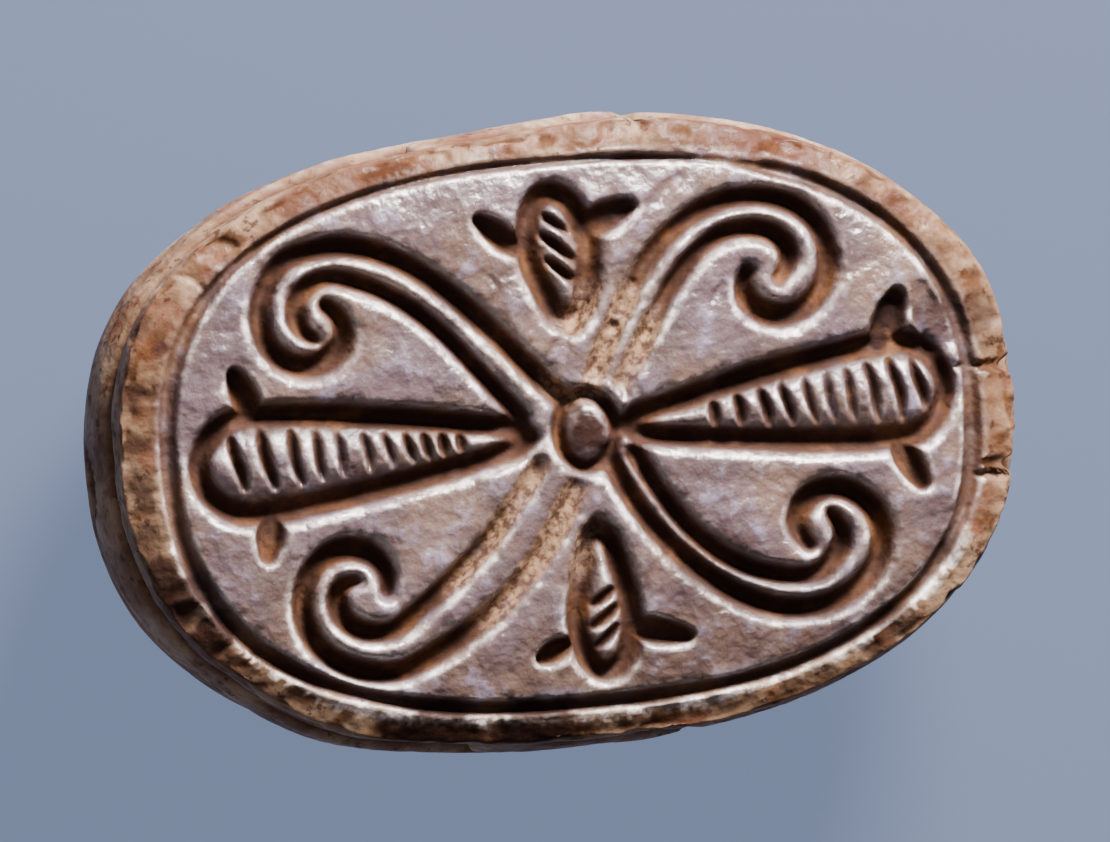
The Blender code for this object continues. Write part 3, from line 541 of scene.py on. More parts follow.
def pit_field(face, count, seed, sizes, depths, where):
    """Small round pits at seeded places where the mask allows."""
    rng = np.random.RandomState(seed)
    low, high = face.low, np.array([face.x[-1], face.y[-1]])
    places = rng.uniform(low, high, (count, 2))
    radii = rng.uniform(*sizes, count)
    deep = rng.uniform(*depths, count)
    stretch = rng.uniform(0.6, 1, count)
    allowed = where(places)
    for (x, y), r, d, k, ok in zip(places, radii, deep, stretch, allowed):
        if not ok:
            continue
        spot = face.window(np.array([x, y]) - r, np.array([x, y]) + r)
        p = face.plan[spot] - (x, y)
        q = np.hypot(p[..., 0], p[..., 1] / k) / r
        face.depth[spot] += d * (1 - smooth(0.2, 1, q))


def slope_face(face, margin):
    """The slight dome of the field, the fall of the rim and the wear at its outer edge."""
    face.depth += FACE_DOME * np.clip(margin, 0, 1) ** 3 + RIM_FALL * smooth(0.82, 1.02, margin)
    share = outline_share(face.plan.reshape(-1, 2)).reshape(margin.shape)
    face.depth += RIM_WEAR * np.clip((share - WEAR_FROM) / (RIM_SHARE - WEAR_FROM), 0, 1.2) ** 2


def chip_rim(face, margin):
    """Ledges and creases that run along the rim, patch by patch."""
    around = RIM_MEAN * np.arctan2(face.plan[..., 1] / BORDER[1], face.plan[..., 0] / BORDER[0])
    outward = margin * BORDER[1]
    ledges = noise(np.stack([0.35 * around, outward], axis=-1), 0.3, 61)
    creases = noise(np.stack([0.5 * around, outward], axis=-1), 0.13, 62)
    blotchy = smooth(-0.5, 0.5, face.noise(1.3, 68))
    chipped = smooth(1.03, 1.06, margin) * (0.35 + 0.65 * blotchy)
    face.depth += chipped * (LEDGE_DEPTH * smooth(-0.2, 0.6, ledges) + CREASE_DEPTH * (1 + creases))


def roughen_face(face):
    """Unevenness of the stone, the grit in the sanded cuts and the nibbled edges."""
    for deep, size, seed in FACE_LUMPS:
        face.depth += deep * (1 + face.noise(size, seed))
    face.sand = sand_mask(face.plan) * smooth(0.02, 0.1, face.carved)
    grit = 0.016 * face.noise(0.08, 65) + 0.022 * face.noise(0.19, 67)
    face.depth += face.sand * grit
    raised = smooth(0.008, 0.045, face.blurred(0.12) - face.depth)
    face.depth += NIBBLE * raised * smooth(-0.2, 0.8, face.noise(0.14, 70))
    face.depth = face.blurred(0.022)


def mark_dirt(face, margin, sunk):
    """Dirt in the deep cuts, the border line and under the rim's ledges, and a band beside the border line
    at the top darkened with the same colour.
    """
    y = face.plan[..., 1]
    dirty = smooth(0.1, 0.28, sunk)
    # A band beside the border line at the top of the face, given the dirt colour
    beside = smooth(1, 1.03, margin) * (1 - smooth(1.05, 1.11, margin))
    beside = beside * smooth(-1.5, 1.5, y) * (0.35 + 0.3 * face.noise(0.6, 69))
    filled = smooth(0.01, 0.08, face.border) * (0.75 + 0.25 * face.noise(0.5, 71))
    ledge = 0.6 * smooth(0.05, 0.14, face.depth - face.blurred(0.16)) * (margin > 1.03)
    face.hollow = np.maximum.reduce([dirty, beside, filled, ledge])


def mark_lips(face, margin, sunk):
    """Edges worn pale, with painted highlight: palest on the edges of the cuts that fall away upwards,
    towards the raking light, and a painted highlight along the rim's lower inner edge.
    """
    y = face.plan[..., 1]
    # Painted highlight: a pale band along the rim's lower inner edge, where the raking light strikes it
    painted_rim_highlight = smooth(1.015, 1.03, margin) * (1 - smooth(1.045, 1.08, margin))
    painted_rim_highlight = painted_rim_highlight * smooth(-1.5, -3.5, y) * (1.3 + 0.9 * face.noise(0.9, 72))
    # Less pale on the rim at the top, the side turned away from the light, and deep in the cuts
    plain = 1 - 0.8 * smooth(1, 1.02, margin) * smooth(-1.5, 1.5, y)
    plain = plain * (1 - 0.6 * smooth(0.07, 0.12, sunk))
    # Painted highlight: edges whose surface falls away towards the raking light are made palest
    fall_x, fall_y = np.gradient(face.blurred(0.05), face.step)
    rubbed_and_lit = 0.15 + 0.85 * smooth(-0.02, 0.28, 0.38 * fall_x + 0.92 * fall_y)
    raised = smooth(0.014, 0.034, face.blurred(0.09) - face.depth)
    face.lip = np.maximum(raised * plain * rubbed_and_lit, painted_rim_highlight)


def carve_face():
    """Depths cut into the face, and the masks that colour it."""
    face = Relief(PLAN_LOW, PLAN_HIGH, FACE_MAP)
    carve_scrolls(face)
    carve_buds(face)
    carve_boss(face)
    face.depth = EDGE_DEEPEN * face.blurred(EDGE_ROUND)
    carve_leaves(face)
    carve_border(face)
    carve_hatches(face)
    face.carved = face.depth.copy()
    sunk = face.blurred(0.03)
    carve_damage(face)
    margin = margin_share(face.plan)
    slope_face(face, margin)
    pit_field(face, 900, 7, (0.03, 0.09), (0.006, 0.028), lambda p: margin_share(p) < 0.97)
    pit_field(face, 1200, 8, (0.03, 0.1), (0.01, 0.035), lambda p: margin_share(p) > 1.03)
    chip_rim(face, margin)
    roughen_face(face)
    mark_dirt(face, margin, sunk)
    mark_lips(face, margin, sunk)
    steep = np.hypot(*np.gradient(face.depth, face.step))
    face.busy = face.blurred(0.07, (steep > 0.18).astype(float))
    return face


def sand_mask(plan):
    """Where grit fills the cuts: the worn stems beside the boss."""
    mask = np.zeros(plan.shape[:-1])
    for x, y, r in SAND_SPOTS:
        away = np.hypot(plan[..., 0] - x, plan[..., 1] - y)
        mask = np.maximum(mask, 1 - smooth(0.6 * r, 1.15 * r, away))
    return mask


def outline(u):
    """Widest outline at the share u of the way round, starting at the tail's left corner."""
    fine = np.radians(np.linspace(150, 510, 2881))
    loop = superellipse(LENGTH / 2, WIDTH / 2, OUTLINE_POWER, fine)
    turn = np.degrees(np.arctan2(loop[:, 1], loop[:, 0]))
    uneven = np.zeros(len(loop))
    for angle, spread, rise in UNEVEN:
        away = (turn - angle + 180) % 360 - 180
        uneven += rise * np.exp(-0.5 * (away / spread) ** 2)
    loop = loop * (1 + uneven / np.hypot(*loop.T))[:, None]
    along = np.concatenate([[0], np.cumsum(np.hypot(*np.diff(loop, axis=0).T))])
    at = np.asarray(u) * along[-1]
    return np.stack([np.interp(at, along, loop[:, 0]), np.interp(at, along, loop[:, 1])], axis=-1)


def outline_share(plan):
    """Distance from the centre as a share of the widest outline in that direction."""
    loop = outline(np.linspace(0, 1, 1441)[:-1])
    turn = np.arctan2(loop[:, 1], loop[:, 0])
    order = np.argsort(turn)
    toward = np.arctan2(plan[:, 1], plan[:, 0])
    radius = np.interp(toward, turn[order], np.hypot(*loop.T)[order], period=2 * np.pi)
    return np.hypot(*plan.T) / radius


def side_share(w):
    """Share of the widest outline at a depth w down the side, before the legs are cut."""
    depths, shares = zip(*SIDE_PROFILE)
    soft = np.zeros(np.shape(w))
    for shift, weight in ((-0.05, 0.25), (0, 0.5), (0.05, 0.25)):
        soft = soft + weight * np.interp(np.asarray(w) + shift, depths, shares)
    near_rim = 1 - smooth(0, 0.08, np.asarray(w))
    return soft * (1 - near_rim) + np.interp(w, depths, shares) * near_rim


def leg_line(leg):
    """Middle line of a leg as (x, millimetres down the leg band)."""
    a, b, c = [np.array([x, s * LEG_BAND]) for x, s in leg]
    t = np.linspace(0, 1, 24)[:, None]
    mid = 2 * b - 0.5 * (a + c)
    return (1 - t) ** 2 * a + 2 * (1 - t) * t * mid + t ** 2 * c


def carve_flank():
    """Depths cut into one flank, over (x, depth down the side); both flanks share it."""
    low, high = (-9, 0), (9, WING_EDGE + STRIP_OVER)
    flank = Relief(low, high, SIDE_MAP)
    legs = Relief(low, high, SIDE_MAP)
    x, w = np.moveaxis(flank.plan, -1, 0)
    for leg in LEGS:
        line = leg_line(leg) + (0, LEG_TOP)
        legs.carve(line, LEG_HALF + LEG_EDGE, 1, LEG_HALF / (LEG_HALF + LEG_EDGE))
    band = smooth(LEG_TOP, LEG_TOP + 0.2, w) * (1 - smooth(LEG_FOOT - 0.2, LEG_FOOT, w))
    flank.depth = LEG_RELIEF * band * (1 - smooth(6.6, 7.6, np.abs(x))) * (1 - legs.depth)
    for leg in LEGS:
        line = resample(leg_line(leg) + (0, LEG_TOP), BRISTLE_SPACING)
        slant = np.array([BRISTLE_REACH * np.sign(leg[2][0] - leg[0][0]), -BRISTLE_REACH])
        for p in line[1:-1]:
            flank.carve(np.array([p - slant, p + slant]), 0.06, 0.05, 0)
    edge = np.array([[-8.2, WING_EDGE + 0.42], [6, WING_EDGE + 0.42]])
    flank.carve(resample(edge, 0.5), 0.1, 0.07, 0.1)
    flank.depth = flank.blurred(0.035)
    return flank


def head_nick(plan, w):
    """Notches in the plinth at both sides of the head."""
    at_head = smooth(7.2, 7.9, plan[:, 0]) * (1 - smooth(PLINTH, LEG_TOP, w))
    nick = np.zeros(len(plan))
    for y, half in HEAD_NICKS:
        nick = np.maximum(nick, NICK_DEPTH * (1 - smooth(0.1 * half, half, np.abs(plan[:, 1] - y))))
    return nick * at_head


def crest_share(x):
    """Height of the back along its middle as a share of the dome."""
    tail = np.clip((CREST - x) / (CREST + WING_SHARE * LENGTH / 2), 0, 1)
    rear = (1 - tail ** 2.6) ** (1 / 2.2)
    ahead = np.clip((x - CREST) / (PRONOTUM_FRONT - CREST), 0, None)
    front = 1 - 0.36 * ahead ** 2
    nose = np.clip((x - PRONOTUM_FRONT) / (WING_SHARE * LENGTH / 2 - PRONOTUM_FRONT), 0, 1)
    plate = (0.34 - 0.12 * nose) * (1 - nose ** 5) ** 0.5
    step = smooth(PRONOTUM_FRONT - 0.1, PRONOTUM_FRONT + 0.25, x)
    return np.where(x < CREST, rear, front * (1 - step) + plate * step)


def head_rise(points):
    """Rise of the beetle's head over the plate in front of the pronotum, falling to its front."""
    x, y = points.T
    half = HEAD_HALF - 0.35 * (x - PRONOTUM_FRONT)
    across = 1 - smooth(half, half + HEAD_SLOPE, np.abs(y))
    along = smooth(PRONOTUM_FRONT - 0.1, PRONOTUM_FRONT + 0.25, x)
    along = along * (1 - smooth(HEAD_END, HEAD_END + HEAD_SLOPE, x))
    return across * along * (0.2 - 0.07 * (x - PRONOTUM_FRONT))


def carve_back():
    """Lines cut in the beetle's back, over the plan."""
    back = Relief(PLAN_LOW, PLAN_HIGH, SIDE_MAP)
    y = np.linspace(-4.9, 4.9, 60)
    collar = np.stack([PRONOTUM_LINE - 0.035 * y ** 2, y], axis=1)
    back.carve(collar, 0.17, 0.17, 0.1)
    for shift in (-0.09, 0.09):
        suture = resample(np.array([[PRONOTUM_LINE, shift], [-8.1, shift]]), 0.4)
        back.carve(suture, 0.08, 0.12, 0.1)
    for side in (-1, 1):
        nick = np.array([[PRONOTUM_LINE - 0.45, side * 3.5], [PRONOTUM_LINE - 1.6, side * 3.9]])
        back.carve(nick, 0.2, 0.16, 0.1)
        cheek = np.array([[PRONOTUM_FRONT + 0.3, side * 0.55], [HEAD_END, side * 0.35]])
        back.carve(cheek, 0.1, 0.09, 0.1)
    for y in (-1.1, -0.4, 0.4, 1.1):
        tooth = np.array([[7.35, 0.9 * y], [7.95, y]])
        back.carve(tooth, 0.11, 0.1, 0.1)
    back.depth = back.blurred(0.03)
    return back


def back_depth(points, back):
    """Depth of the back below the face at plan positions."""
    x, y = points.T
    half_x = WING_SHARE * LENGTH / 2
    half_y = WING_SHARE * WIDTH / 2
    reach = half_y * np.maximum(1 - np.abs(x / half_x) ** OUTLINE_POWER, 1e-6) ** (1 / OUTLINE_POWER)
    arch = np.maximum(1 - np.clip(np.abs(y) / reach, 0, 1) ** 2.3, 0) ** 0.5
    rise = crest_share(x) * arch
    rise = rise + head_rise(points) * arch
    depth = WING_EDGE + DOME * rise
    worn = smooth(-0.6 * REST_FLAT, 0, depth - HEIGHT)
    return np.minimum(depth - (1 - worn) * back.at(points), HEIGHT)


def side_dents(strip):
    """Two sizes of small dents over the side."""
    return noise(strip, 0.28, 92), noise(strip * (0.5, 1), 0.2, 93)


def side_lumps(strip, v):
    """Lumps of the plinth's side, none at its rim or where the strip is joined."""
    round_dents, long_dents = side_dents(strip)
    lumps = 0.04 * noise(strip, 0.75, 91) + 0.045 * round_dents + 0.04 * long_dents
    lumps = lumps * smooth(0.02, 0.3, v) * (1 - smooth(0.9, 1.6, v)) * smooth(0, 0.4, strip[:, 0])
    lumps = lumps * (1 - smooth(STRIP_ROUND - 0.4, STRIP_ROUND, strip[:, 0]))
    return np.maximum(lumps, -0.02)


def side_point(u, v, flank, back, rim_drop):
    """Plan position and depth on the side; v is millimetres down it, past the wing edge along the dome."""
    base = outline(u)
    radius = np.hypot(*base.T)
    w = np.minimum(v, WING_EDGE)
    cut = flank.at(np.stack([base[:, 0], v], axis=1))
    cut = cut * smooth(0, 0.1, v) * (1 - smooth(1.4, 1.7, v - WING_EDGE))
    over = np.clip((v - WING_EDGE) / STRIP_OVER, 0, 1)
    dome_share = WING_SHARE + (SHOULDER_SHARE - WING_SHARE) * over ** 2
    share = np.where(v > WING_EDGE, dome_share, side_share(w))
    on_dome = np.maximum(back_depth(base * share[:, None], back), WING_EDGE)
    depth = np.where(v > WING_EDGE, on_dome, w) + rim_drop * (1 - smooth(0, 0.7, w))
    strip = np.stack([np.asarray(u) * STRIP_ROUND, v], axis=1)
    inward = (cut + head_nick(base, w) + side_lumps(strip, v)) / radius
    return base * (share - inward)[:, None], depth


def hex_points(low, high, step):
    rows = np.arange(low[1], high[1], step * 0.8660254)
    cols = np.arange(low[0], high[0], step)
    x, y = np.meshgrid(cols, rows)
    x = x + 0.5 * step * (np.arange(len(rows)) % 2)[:, None]
    return np.stack([x.ravel(), y.ravel()], axis=1)


def triangulate(points, loops, hull):
    """Delaunay triangles of the points, keeping closed loops given as index ranges."""
    edges = []
    for first, last in loops:
        edges += [(i, i + 1) for i in range(first, last - 1)] + [(last - 1, first)]
    found = delaunay_2d_cdt([Vector(p) for p in points], edges, [], 0 if hull else 1, 1e-7)
    return np.array([(v.x, v.y) for v in found[0]]), [tuple(f) for f in found[2]]


def face_sheet(face, ring):
    """The face as a fine mesh where it is steep and a coarser one elsewhere."""
    fine = hex_points(SHEET_LOW, SHEET_HIGH, FACE_FINE)
    fine = fine[(face.at(fine, face.busy) > 0.02) & (outline_share(fine) < RIM_SHARE - 0.006)]
    coarse = hex_points(SHEET_LOW, SHEET_HIGH, FACE_COARSE)
    coarse = coarse[(face.at(coarse, face.busy) <= 0.02) & (outline_share(coarse) < RIM_SHARE - 0.009)]
    points = np.concatenate([ring, fine, coarse])
    verts, tris = triangulate(points, [(0, len(ring))], False)
    return verts, face.at(verts), tris


def back_sheet(back):
    ring = outline(np.arange(RING_POINTS) / RING_POINTS) * SHOULDER_SHARE
    inner = hex_points(SHEET_LOW, SHEET_HIGH, BACK_STEP)
    inner = inner[outline_share(inner) < SHOULDER_SHARE - 0.012]
    verts, tris = triangulate(np.concatenate([ring, inner]), [(0, len(ring))], False)
    return verts, back_depth(verts, back), tris


def bore_ring(end):
    """Where the lengthwise bore meets the side at one end, as (share round, depth)."""
    turn = np.linspace(0, 2 * np.pi, MOUTH_POINTS + 1)[:-1]
    w = BORE_DEPTH + BORE / 2 * np.sin(turn)
    y = BORE / 2 * np.cos(turn)
    u = np.linspace(0, 1, 8001)
    loop = outline(u)
    part = (end * loop[:, 0] > 0) & (np.abs(loop[:, 1]) < 0.4 * WIDTH)
    order = np.argsort(loop[part, 1])
    at = np.interp(y / side_share(w), loop[part, 1][order], u[part][order])
    return np.stack([at, w], axis=1)


def in_mouth(points, mouths, clear):
    inside = np.zeros(len(points), bool)
    for mouth in mouths:
        centre = mouth.mean(axis=0)
        reach = np.abs(mouth - centre).max(axis=0) + clear
        inside |= np.hypot(*((points - centre) / reach).T) < 1
    return inside


def side_sheet(flank, back, rim):
    """The side as a strip with the two mouths of the bore left open."""
    end = WING_EDGE + STRIP_OVER
    share = np.arange(RING_POINTS + 1) / RING_POINTS
    at = share * STRIP_ROUND
    seam = np.linspace(0, end, 60)
    frame_points = [(s, 0) for s in at] + [(STRIP_ROUND, v) for v in seam[1:-1]]
    frame_points += [(s, end) for s in at[::-1]] + [(0, v) for v in seam[-2:0:-1]]
    mouths = [bore_ring(side) * (STRIP_ROUND, 1) for side in (-1, 1)]
    fine = hex_points((0.06, 0.06), (STRIP_ROUND - 0.05, 1), RIM_STEP)
    coarse = hex_points((0.09, 1.07), (STRIP_ROUND - 0.08, end - 0.08), SIDE_STEP)
    inner = np.concatenate([fine, coarse])
    inner = inner[~in_mouth(inner, mouths, 0.05)]
    points = np.concatenate([np.array(frame_points)] + mouths + [inner])
    first = len(frame_points)
    second = first + MOUTH_POINTS
    loops = [(0, first), (first, second), (second, second + MOUTH_POINTS)]
    strip, tris = triangulate(points, loops, True)
    keep = ~in_mouth(strip[np.array(tris)].mean(axis=1), mouths, -0.004)
    tris = [t for t, k in zip(tris, keep) if k]
    u = strip[:, 0] / STRIP_ROUND
    plan, depth = side_point(u, strip[:, 1], flank, back, np.interp(u, share, np.append(rim, rim[0])))
    rings = [side_point(m[:, 0] / STRIP_ROUND, m[:, 1], flank, back, np.zeros(len(m))) for m in mouths]
    return plan, depth, tris, rings, strip


def bore_sheet(rings):
    """The wall of the bore between its two mouths, a little wavy from the drill."""
    first, last = [np.column_stack(ring) for ring in rings]
    axis = np.array([0, BORE_DEPTH])
    rows = []
    for t in np.linspace(0, 1, BORE_ROWS):
        ring = first * (1 - t) + last * t
        swell = 1 + 0.025 * np.sin(9 * t) * np.sin(np.pi * t)
        ring[:, 1:] = axis + (ring[:, 1:] - axis) * swell
        rows.append(ring)
    tris = []
    for start in range(0, (BORE_ROWS - 1) * MOUTH_POINTS, MOUTH_POINTS):
        for i in range(MOUTH_POINTS):
            a = start + i
            b = start + (i + 1) % MOUTH_POINTS
            tris += [(a, b, b + MOUTH_POINTS), (a, b + MOUTH_POINTS, a + MOUTH_POINTS)]
    wall = np.concatenate(rows)
    return wall[:, :2], wall[:, 2], tris


def add_sheet(bm, sheet, masks):
    """Adds points and triangles to the mesh; a mask that isn't given stays at zero."""
    plan, depth, tris = sheet
    layers = [(bm.verts.layers.float[name], values) for name, values in masks.items()]
    verts = []
    for k, ((x, y), w) in enumerate(zip(plan, depth)):
        v = bm.verts.new((x * MM, y * MM, (HEIGHT - w) * MM))
        for layer, values in layers:
            v[layer] = values[k]
        verts.append(v)
    for tri in tris:
        bm.faces.new([verts[i] for i in tri])


def stain_mask(plan, stains):
    """Where the stone is stained, and where patches of painted shade darken it, with ragged edges."""
    ragged = 1 + 0.35 * noise(plan, 0.35, 81) + 0.2 * noise(plan, 0.12, 82)
    mask = np.zeros(len(plan))
    for x, y, r, strength in stains:
        away = np.hypot(plan[:, 0] - x, plan[:, 1] - y) * ragged
        mask = np.maximum(mask, strength * (1 - smooth(0.55 * r, 1.1 * r, away)))
    return mask


def face_masks(face, verts):
    inside = 1 - smooth(0.99, 1.05, margin_share(verts))
    hollow, lip, sand = [face.at(verts, values) for values in (face.hollow, face.lip, face.sand)]
    return dict(hollow=hollow, lip=lip, sand=sand, field=inside, weather=1 - 0.75 * inside,
                stain_and_shade=stain_mask(verts, STAINS_AND_SHADE), rust=stain_mask(verts, RUST))


def sunk_and_raised(relief, points, sigma):
    """How far points lie below and above the softened map around them, in millimetres."""
    rise = relief.at(points, relief.blurred(sigma)) - relief.at(points)
    return np.maximum(-rise, 0), np.maximum(rise, 0)


def side_masks(strip, plan, flank):
    v = strip[:, 1]
    x = outline(strip[:, 0] / STRIP_ROUND)[:, 0]
    sunk, raised = sunk_and_raised(flank, np.stack([x, v], axis=1), 0.25)
    hollow = np.minimum(sunk / 0.1, 1)
    for level in (PLINTH + PARTING, LEG_FOOT + PARTING):
        hollow = np.maximum(hollow, 1 - smooth(0.02, 0.2, np.abs(v - level)))
    upper = 1 - smooth(0.3, 1.2, v)
    round_dents, long_dents = side_dents(strip)
    dirty_dents = smooth(0.05, 0.5, 0.6 * round_dents + 0.7 * long_dents)
    hollow = np.maximum(hollow, 0.85 * dirty_dents * upper)
    return dict(hollow=hollow, lip=0.2 * np.minimum(raised / 0.06, 1), weather=np.ones(len(strip)),
                stain_and_shade=stain_mask(plan, STAINS_AND_SHADE) * upper, rust=stain_mask(plan, RUST) * upper)


def back_masks(verts, back):
    sunk, raised = sunk_and_raised(back, verts, 0.2)
    weather = smooth(0, 0.35, HEIGHT - back_depth(verts, back))
    lip = 0.3 * np.minimum(raised / 0.05, 1)
    return dict(hollow=np.minimum(sunk / 0.06, 1), lip=lip, weather=weather)


def stone_mesh():
    """The whole stone as one closed mesh with its masks."""
    face = carve_face()
    flank = carve_flank()
    back = carve_back()
    zero = np.zeros(RING_POINTS)
    ring, _ = side_point(np.arange(RING_POINTS) / RING_POINTS, zero, flank, back, zero)
    bm = bmesh.new()
    for name in MASKS:
        bm.verts.layers.float.new(name)
    sheet = face_sheet(face, ring)
    add_sheet(bm, sheet, face_masks(face, sheet[0]))
    sheet = back_sheet(back)
    add_sheet(bm, sheet, back_masks(sheet[0], back))
    plan, depth, tris, rings, strip = side_sheet(flank, back, face.at(ring))
    add_sheet(bm, (plan, depth, tris), side_masks(strip, plan, flank))
    bore = bore_sheet(rings)
    dark = np.ones(len(bore[0]))
    add_sheet(bm, bore, dict(hollow=dark, weather=0.5 * dark))
    bmesh.ops.remove_doubles(bm, verts=bm.verts, dist=0.000002)
    bmesh.ops.recalc_face_normals(bm, faces=bm.faces)
    mesh = bpy.data.meshes.new("weathered_scarab")
    bm.to_mesh(mesh)
    bm.free()
    return mesh


def join(tree, socket, value):
    """Links an input to another node's output, or sets its value."""
    if isinstance(value, bpy.types.NodeSocket):
        tree.links.new(value, socket)
    else:
        socket.default_value = value


def feed(tree, node, **inputs):
    """Joins a node's inputs, by name, to outputs or values."""
    for name, value in inputs.items():
        join(tree, node.inputs[name.replace("_", " ")], value)
    return node


def add_node(tree, kind, **inputs):
    return feed(tree, tree.nodes.new(kind), **inputs)


def arithmetic(tree, operation, *values, clamp=False):
    """The output of one step of arithmetic."""
    made = tree.nodes.new("ShaderNodeMath")
    made.operation = operation
    made.use_clamp = clamp
    for socket, value in zip(made.inputs, values):
        join(tree, socket, value)
    return made.outputs[0]


def node_group(name, kind, inputs, output):
    """A node group with its named inputs and one output, and what its inputs give."""
    tree = bpy.data.node_groups.new(name, kind)
    for label, socket_type, value in inputs:
        socket = tree.interface.new_socket(label, in_out="INPUT", socket_type=socket_type)
        if value is not None:
            socket.default_value = value
    tree.interface.new_socket(output[0], in_out="OUTPUT", socket_type=output[1])
    return tree, tree.nodes.new("NodeGroupInput").outputs


def end_group(tree, result):
    tree.links.new(result, tree.nodes.new("NodeGroupOutput").inputs[0])


def weathering_tree():
    """Pits and grain pressed into a mesh along its normals, as far as its weather mask allows."""
    inputs = [("Geometry", "NodeSocketGeometry", None)]
    inputs += [(name, "NodeSocketFloat", value) for name, value in WEATHERING]
    inputs += [("Stone", "NodeSocketMaterial", None)]
    output = ("Geometry", "NodeSocketGeometry")
    tree, given = node_group("stone_weathering", "GeometryNodeTree", inputs, output)
    place = tree.nodes.new("GeometryNodeInputPosition")
    normal = tree.nodes.new("GeometryNodeInputNormal")
    mask = add_node(tree, "GeometryNodeInputNamedAttribute", Name="weather")
    maths = partial(arithmetic, tree)

    def pattern(kind, size, detail):
        scale = maths("DIVIDE", 1, size)
        return add_node(tree, kind, Vector=place.outputs[0], Scale=scale, Detail=detail).outputs[0]

    broad = pattern("ShaderNodeTexNoise", given["Hollow size"], 2)
    broad = maths("MULTIPLY", maths("SUBTRACT", broad, 0.35), given["Hollow depth"])
    cells = pattern("ShaderNodeTexVoronoi", given["Pit size"], 0)
    pits = maths("MAXIMUM", maths("MULTIPLY_ADD", cells, -2.2, 1), 0)
    patchy = pattern("ShaderNodeTexNoise", given["Hollow size"], 3)
    patchy = maths("MAXIMUM", maths("MULTIPLY_ADD", patchy, 5, -2.4), 0)
    patchy = maths("MINIMUM", patchy, 1)
    pits = maths("MULTIPLY", maths("MULTIPLY", pits, patchy), given["Pit depth"])
    grain = pattern("ShaderNodeTexNoise", given["Grain size"], 1)
    grain = maths("MULTIPLY", grain, given["Grain depth"])
    total = maths("MAXIMUM", maths("ADD", maths("ADD", broad, pits), grain), 0)
    total = maths("MULTIPLY", maths("MULTIPLY", total, mask.outputs[0]), -1)
    push = tree.nodes.new("ShaderNodeVectorMath")
    push.operation = "SCALE"
    tree.links.new(normal.outputs[0], push.inputs[0])
    feed(tree, push, Scale=total)
    move = add_node(tree, "GeometryNodeSetPosition", Geometry=given["Geometry"], Offset=push.outputs[0])
    solid = add_node(tree, "GeometryNodeRealizeInstances", Geometry=move.outputs[0])
    coat = add_node(tree, "GeometryNodeSetMaterial", Geometry=solid.outputs[0], Material=given["Stone"])
    end_group(tree, coat.outputs[0])
    return tree


def add_object(name, data):
    made = bpy.data.objects.new(name, data)
    bpy.context.scene.collection.objects.link(made)
    return made


def weathered(mesh, material):
    """The stone's mesh after its weathering tree, as a plain mesh object."""
    raw = add_object("raw_scarab", mesh)
    tree = weathering_tree()
    modifier = raw.modifiers.new("weathering", "NODES")
    modifier.node_group = tree
    for item in tree.interface.items_tree:
        if item.in_out == "INPUT" and item.socket_type == "NodeSocketFloat":
            modifier[item.identifier] = item.default_value
        if item.in_out == "INPUT" and item.socket_type == "NodeSocketMaterial":
            modifier[item.identifier] = material
    view = bpy.context.evaluated_depsgraph_get()
    plain = bpy.data.meshes.new_from_object(raw.evaluated_get(view), depsgraph=view)
    raw.modifiers.remove(modifier)
    bpy.data.objects.remove(raw, do_unlink=True)
    plain.name = "weathered_scarab_plain"
    for polygon in plain.polygons:
        polygon.use_smooth = True
    return add_object("weathered_scarab", plain)


def fit_to_solid(piece):
    """Brings the mesh to the solid's own box."""
    mesh = piece.data
    at = np.zeros(len(mesh.vertices) * 3)
    mesh.vertices.foreach_get("co", at)
    at = at.reshape(-1, 3)
    low, high = [np.array(v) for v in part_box("scarab")]
    grow = (high - low) / (at.max(axis=0) - at.min(axis=0))
    at = (at - at.min(axis=0)) * grow + low
    mesh.vertices.foreach_set("co", at.ravel())
    mesh.update()


def linear(red, green, blue):
    """A colour given as it shows on screen, from 0 to 255, in the shader's linear values."""
    c = np.array([red, green, blue]) / 255
    c = np.where(c <= 0.04045, c / 12.92, ((c + 0.055) / 1.055) ** 2.4)
    return (*c.tolist(), 1.0)


def blotch_group():
    """Patchy mask from noise on Object coordinates in millimetres."""
    inputs = [("Place", "NodeSocketVector", None)]
    inputs += [(name, "NodeSocketFloat", value) for name, value in BLOTCHES]
    tree, given = node_group("stone_blotches", "ShaderNodeTree", inputs, ("Mask", "NodeSocketFloat"))
    cloud = add_node(tree, "ShaderNodeTexNoise", Vector=given["Place"], Scale=given["Scale"],
                     Detail=given["Detail"], Roughness=0.62)
    span = add_node(tree, "ShaderNodeMapRange", Value=cloud.outputs[0],
                    From_Min=given["Low"], From_Max=given["High"])
    span.interpolation_type = "SMOOTHSTEP"
    end_group(tree, span.outputs[0])
    return tree


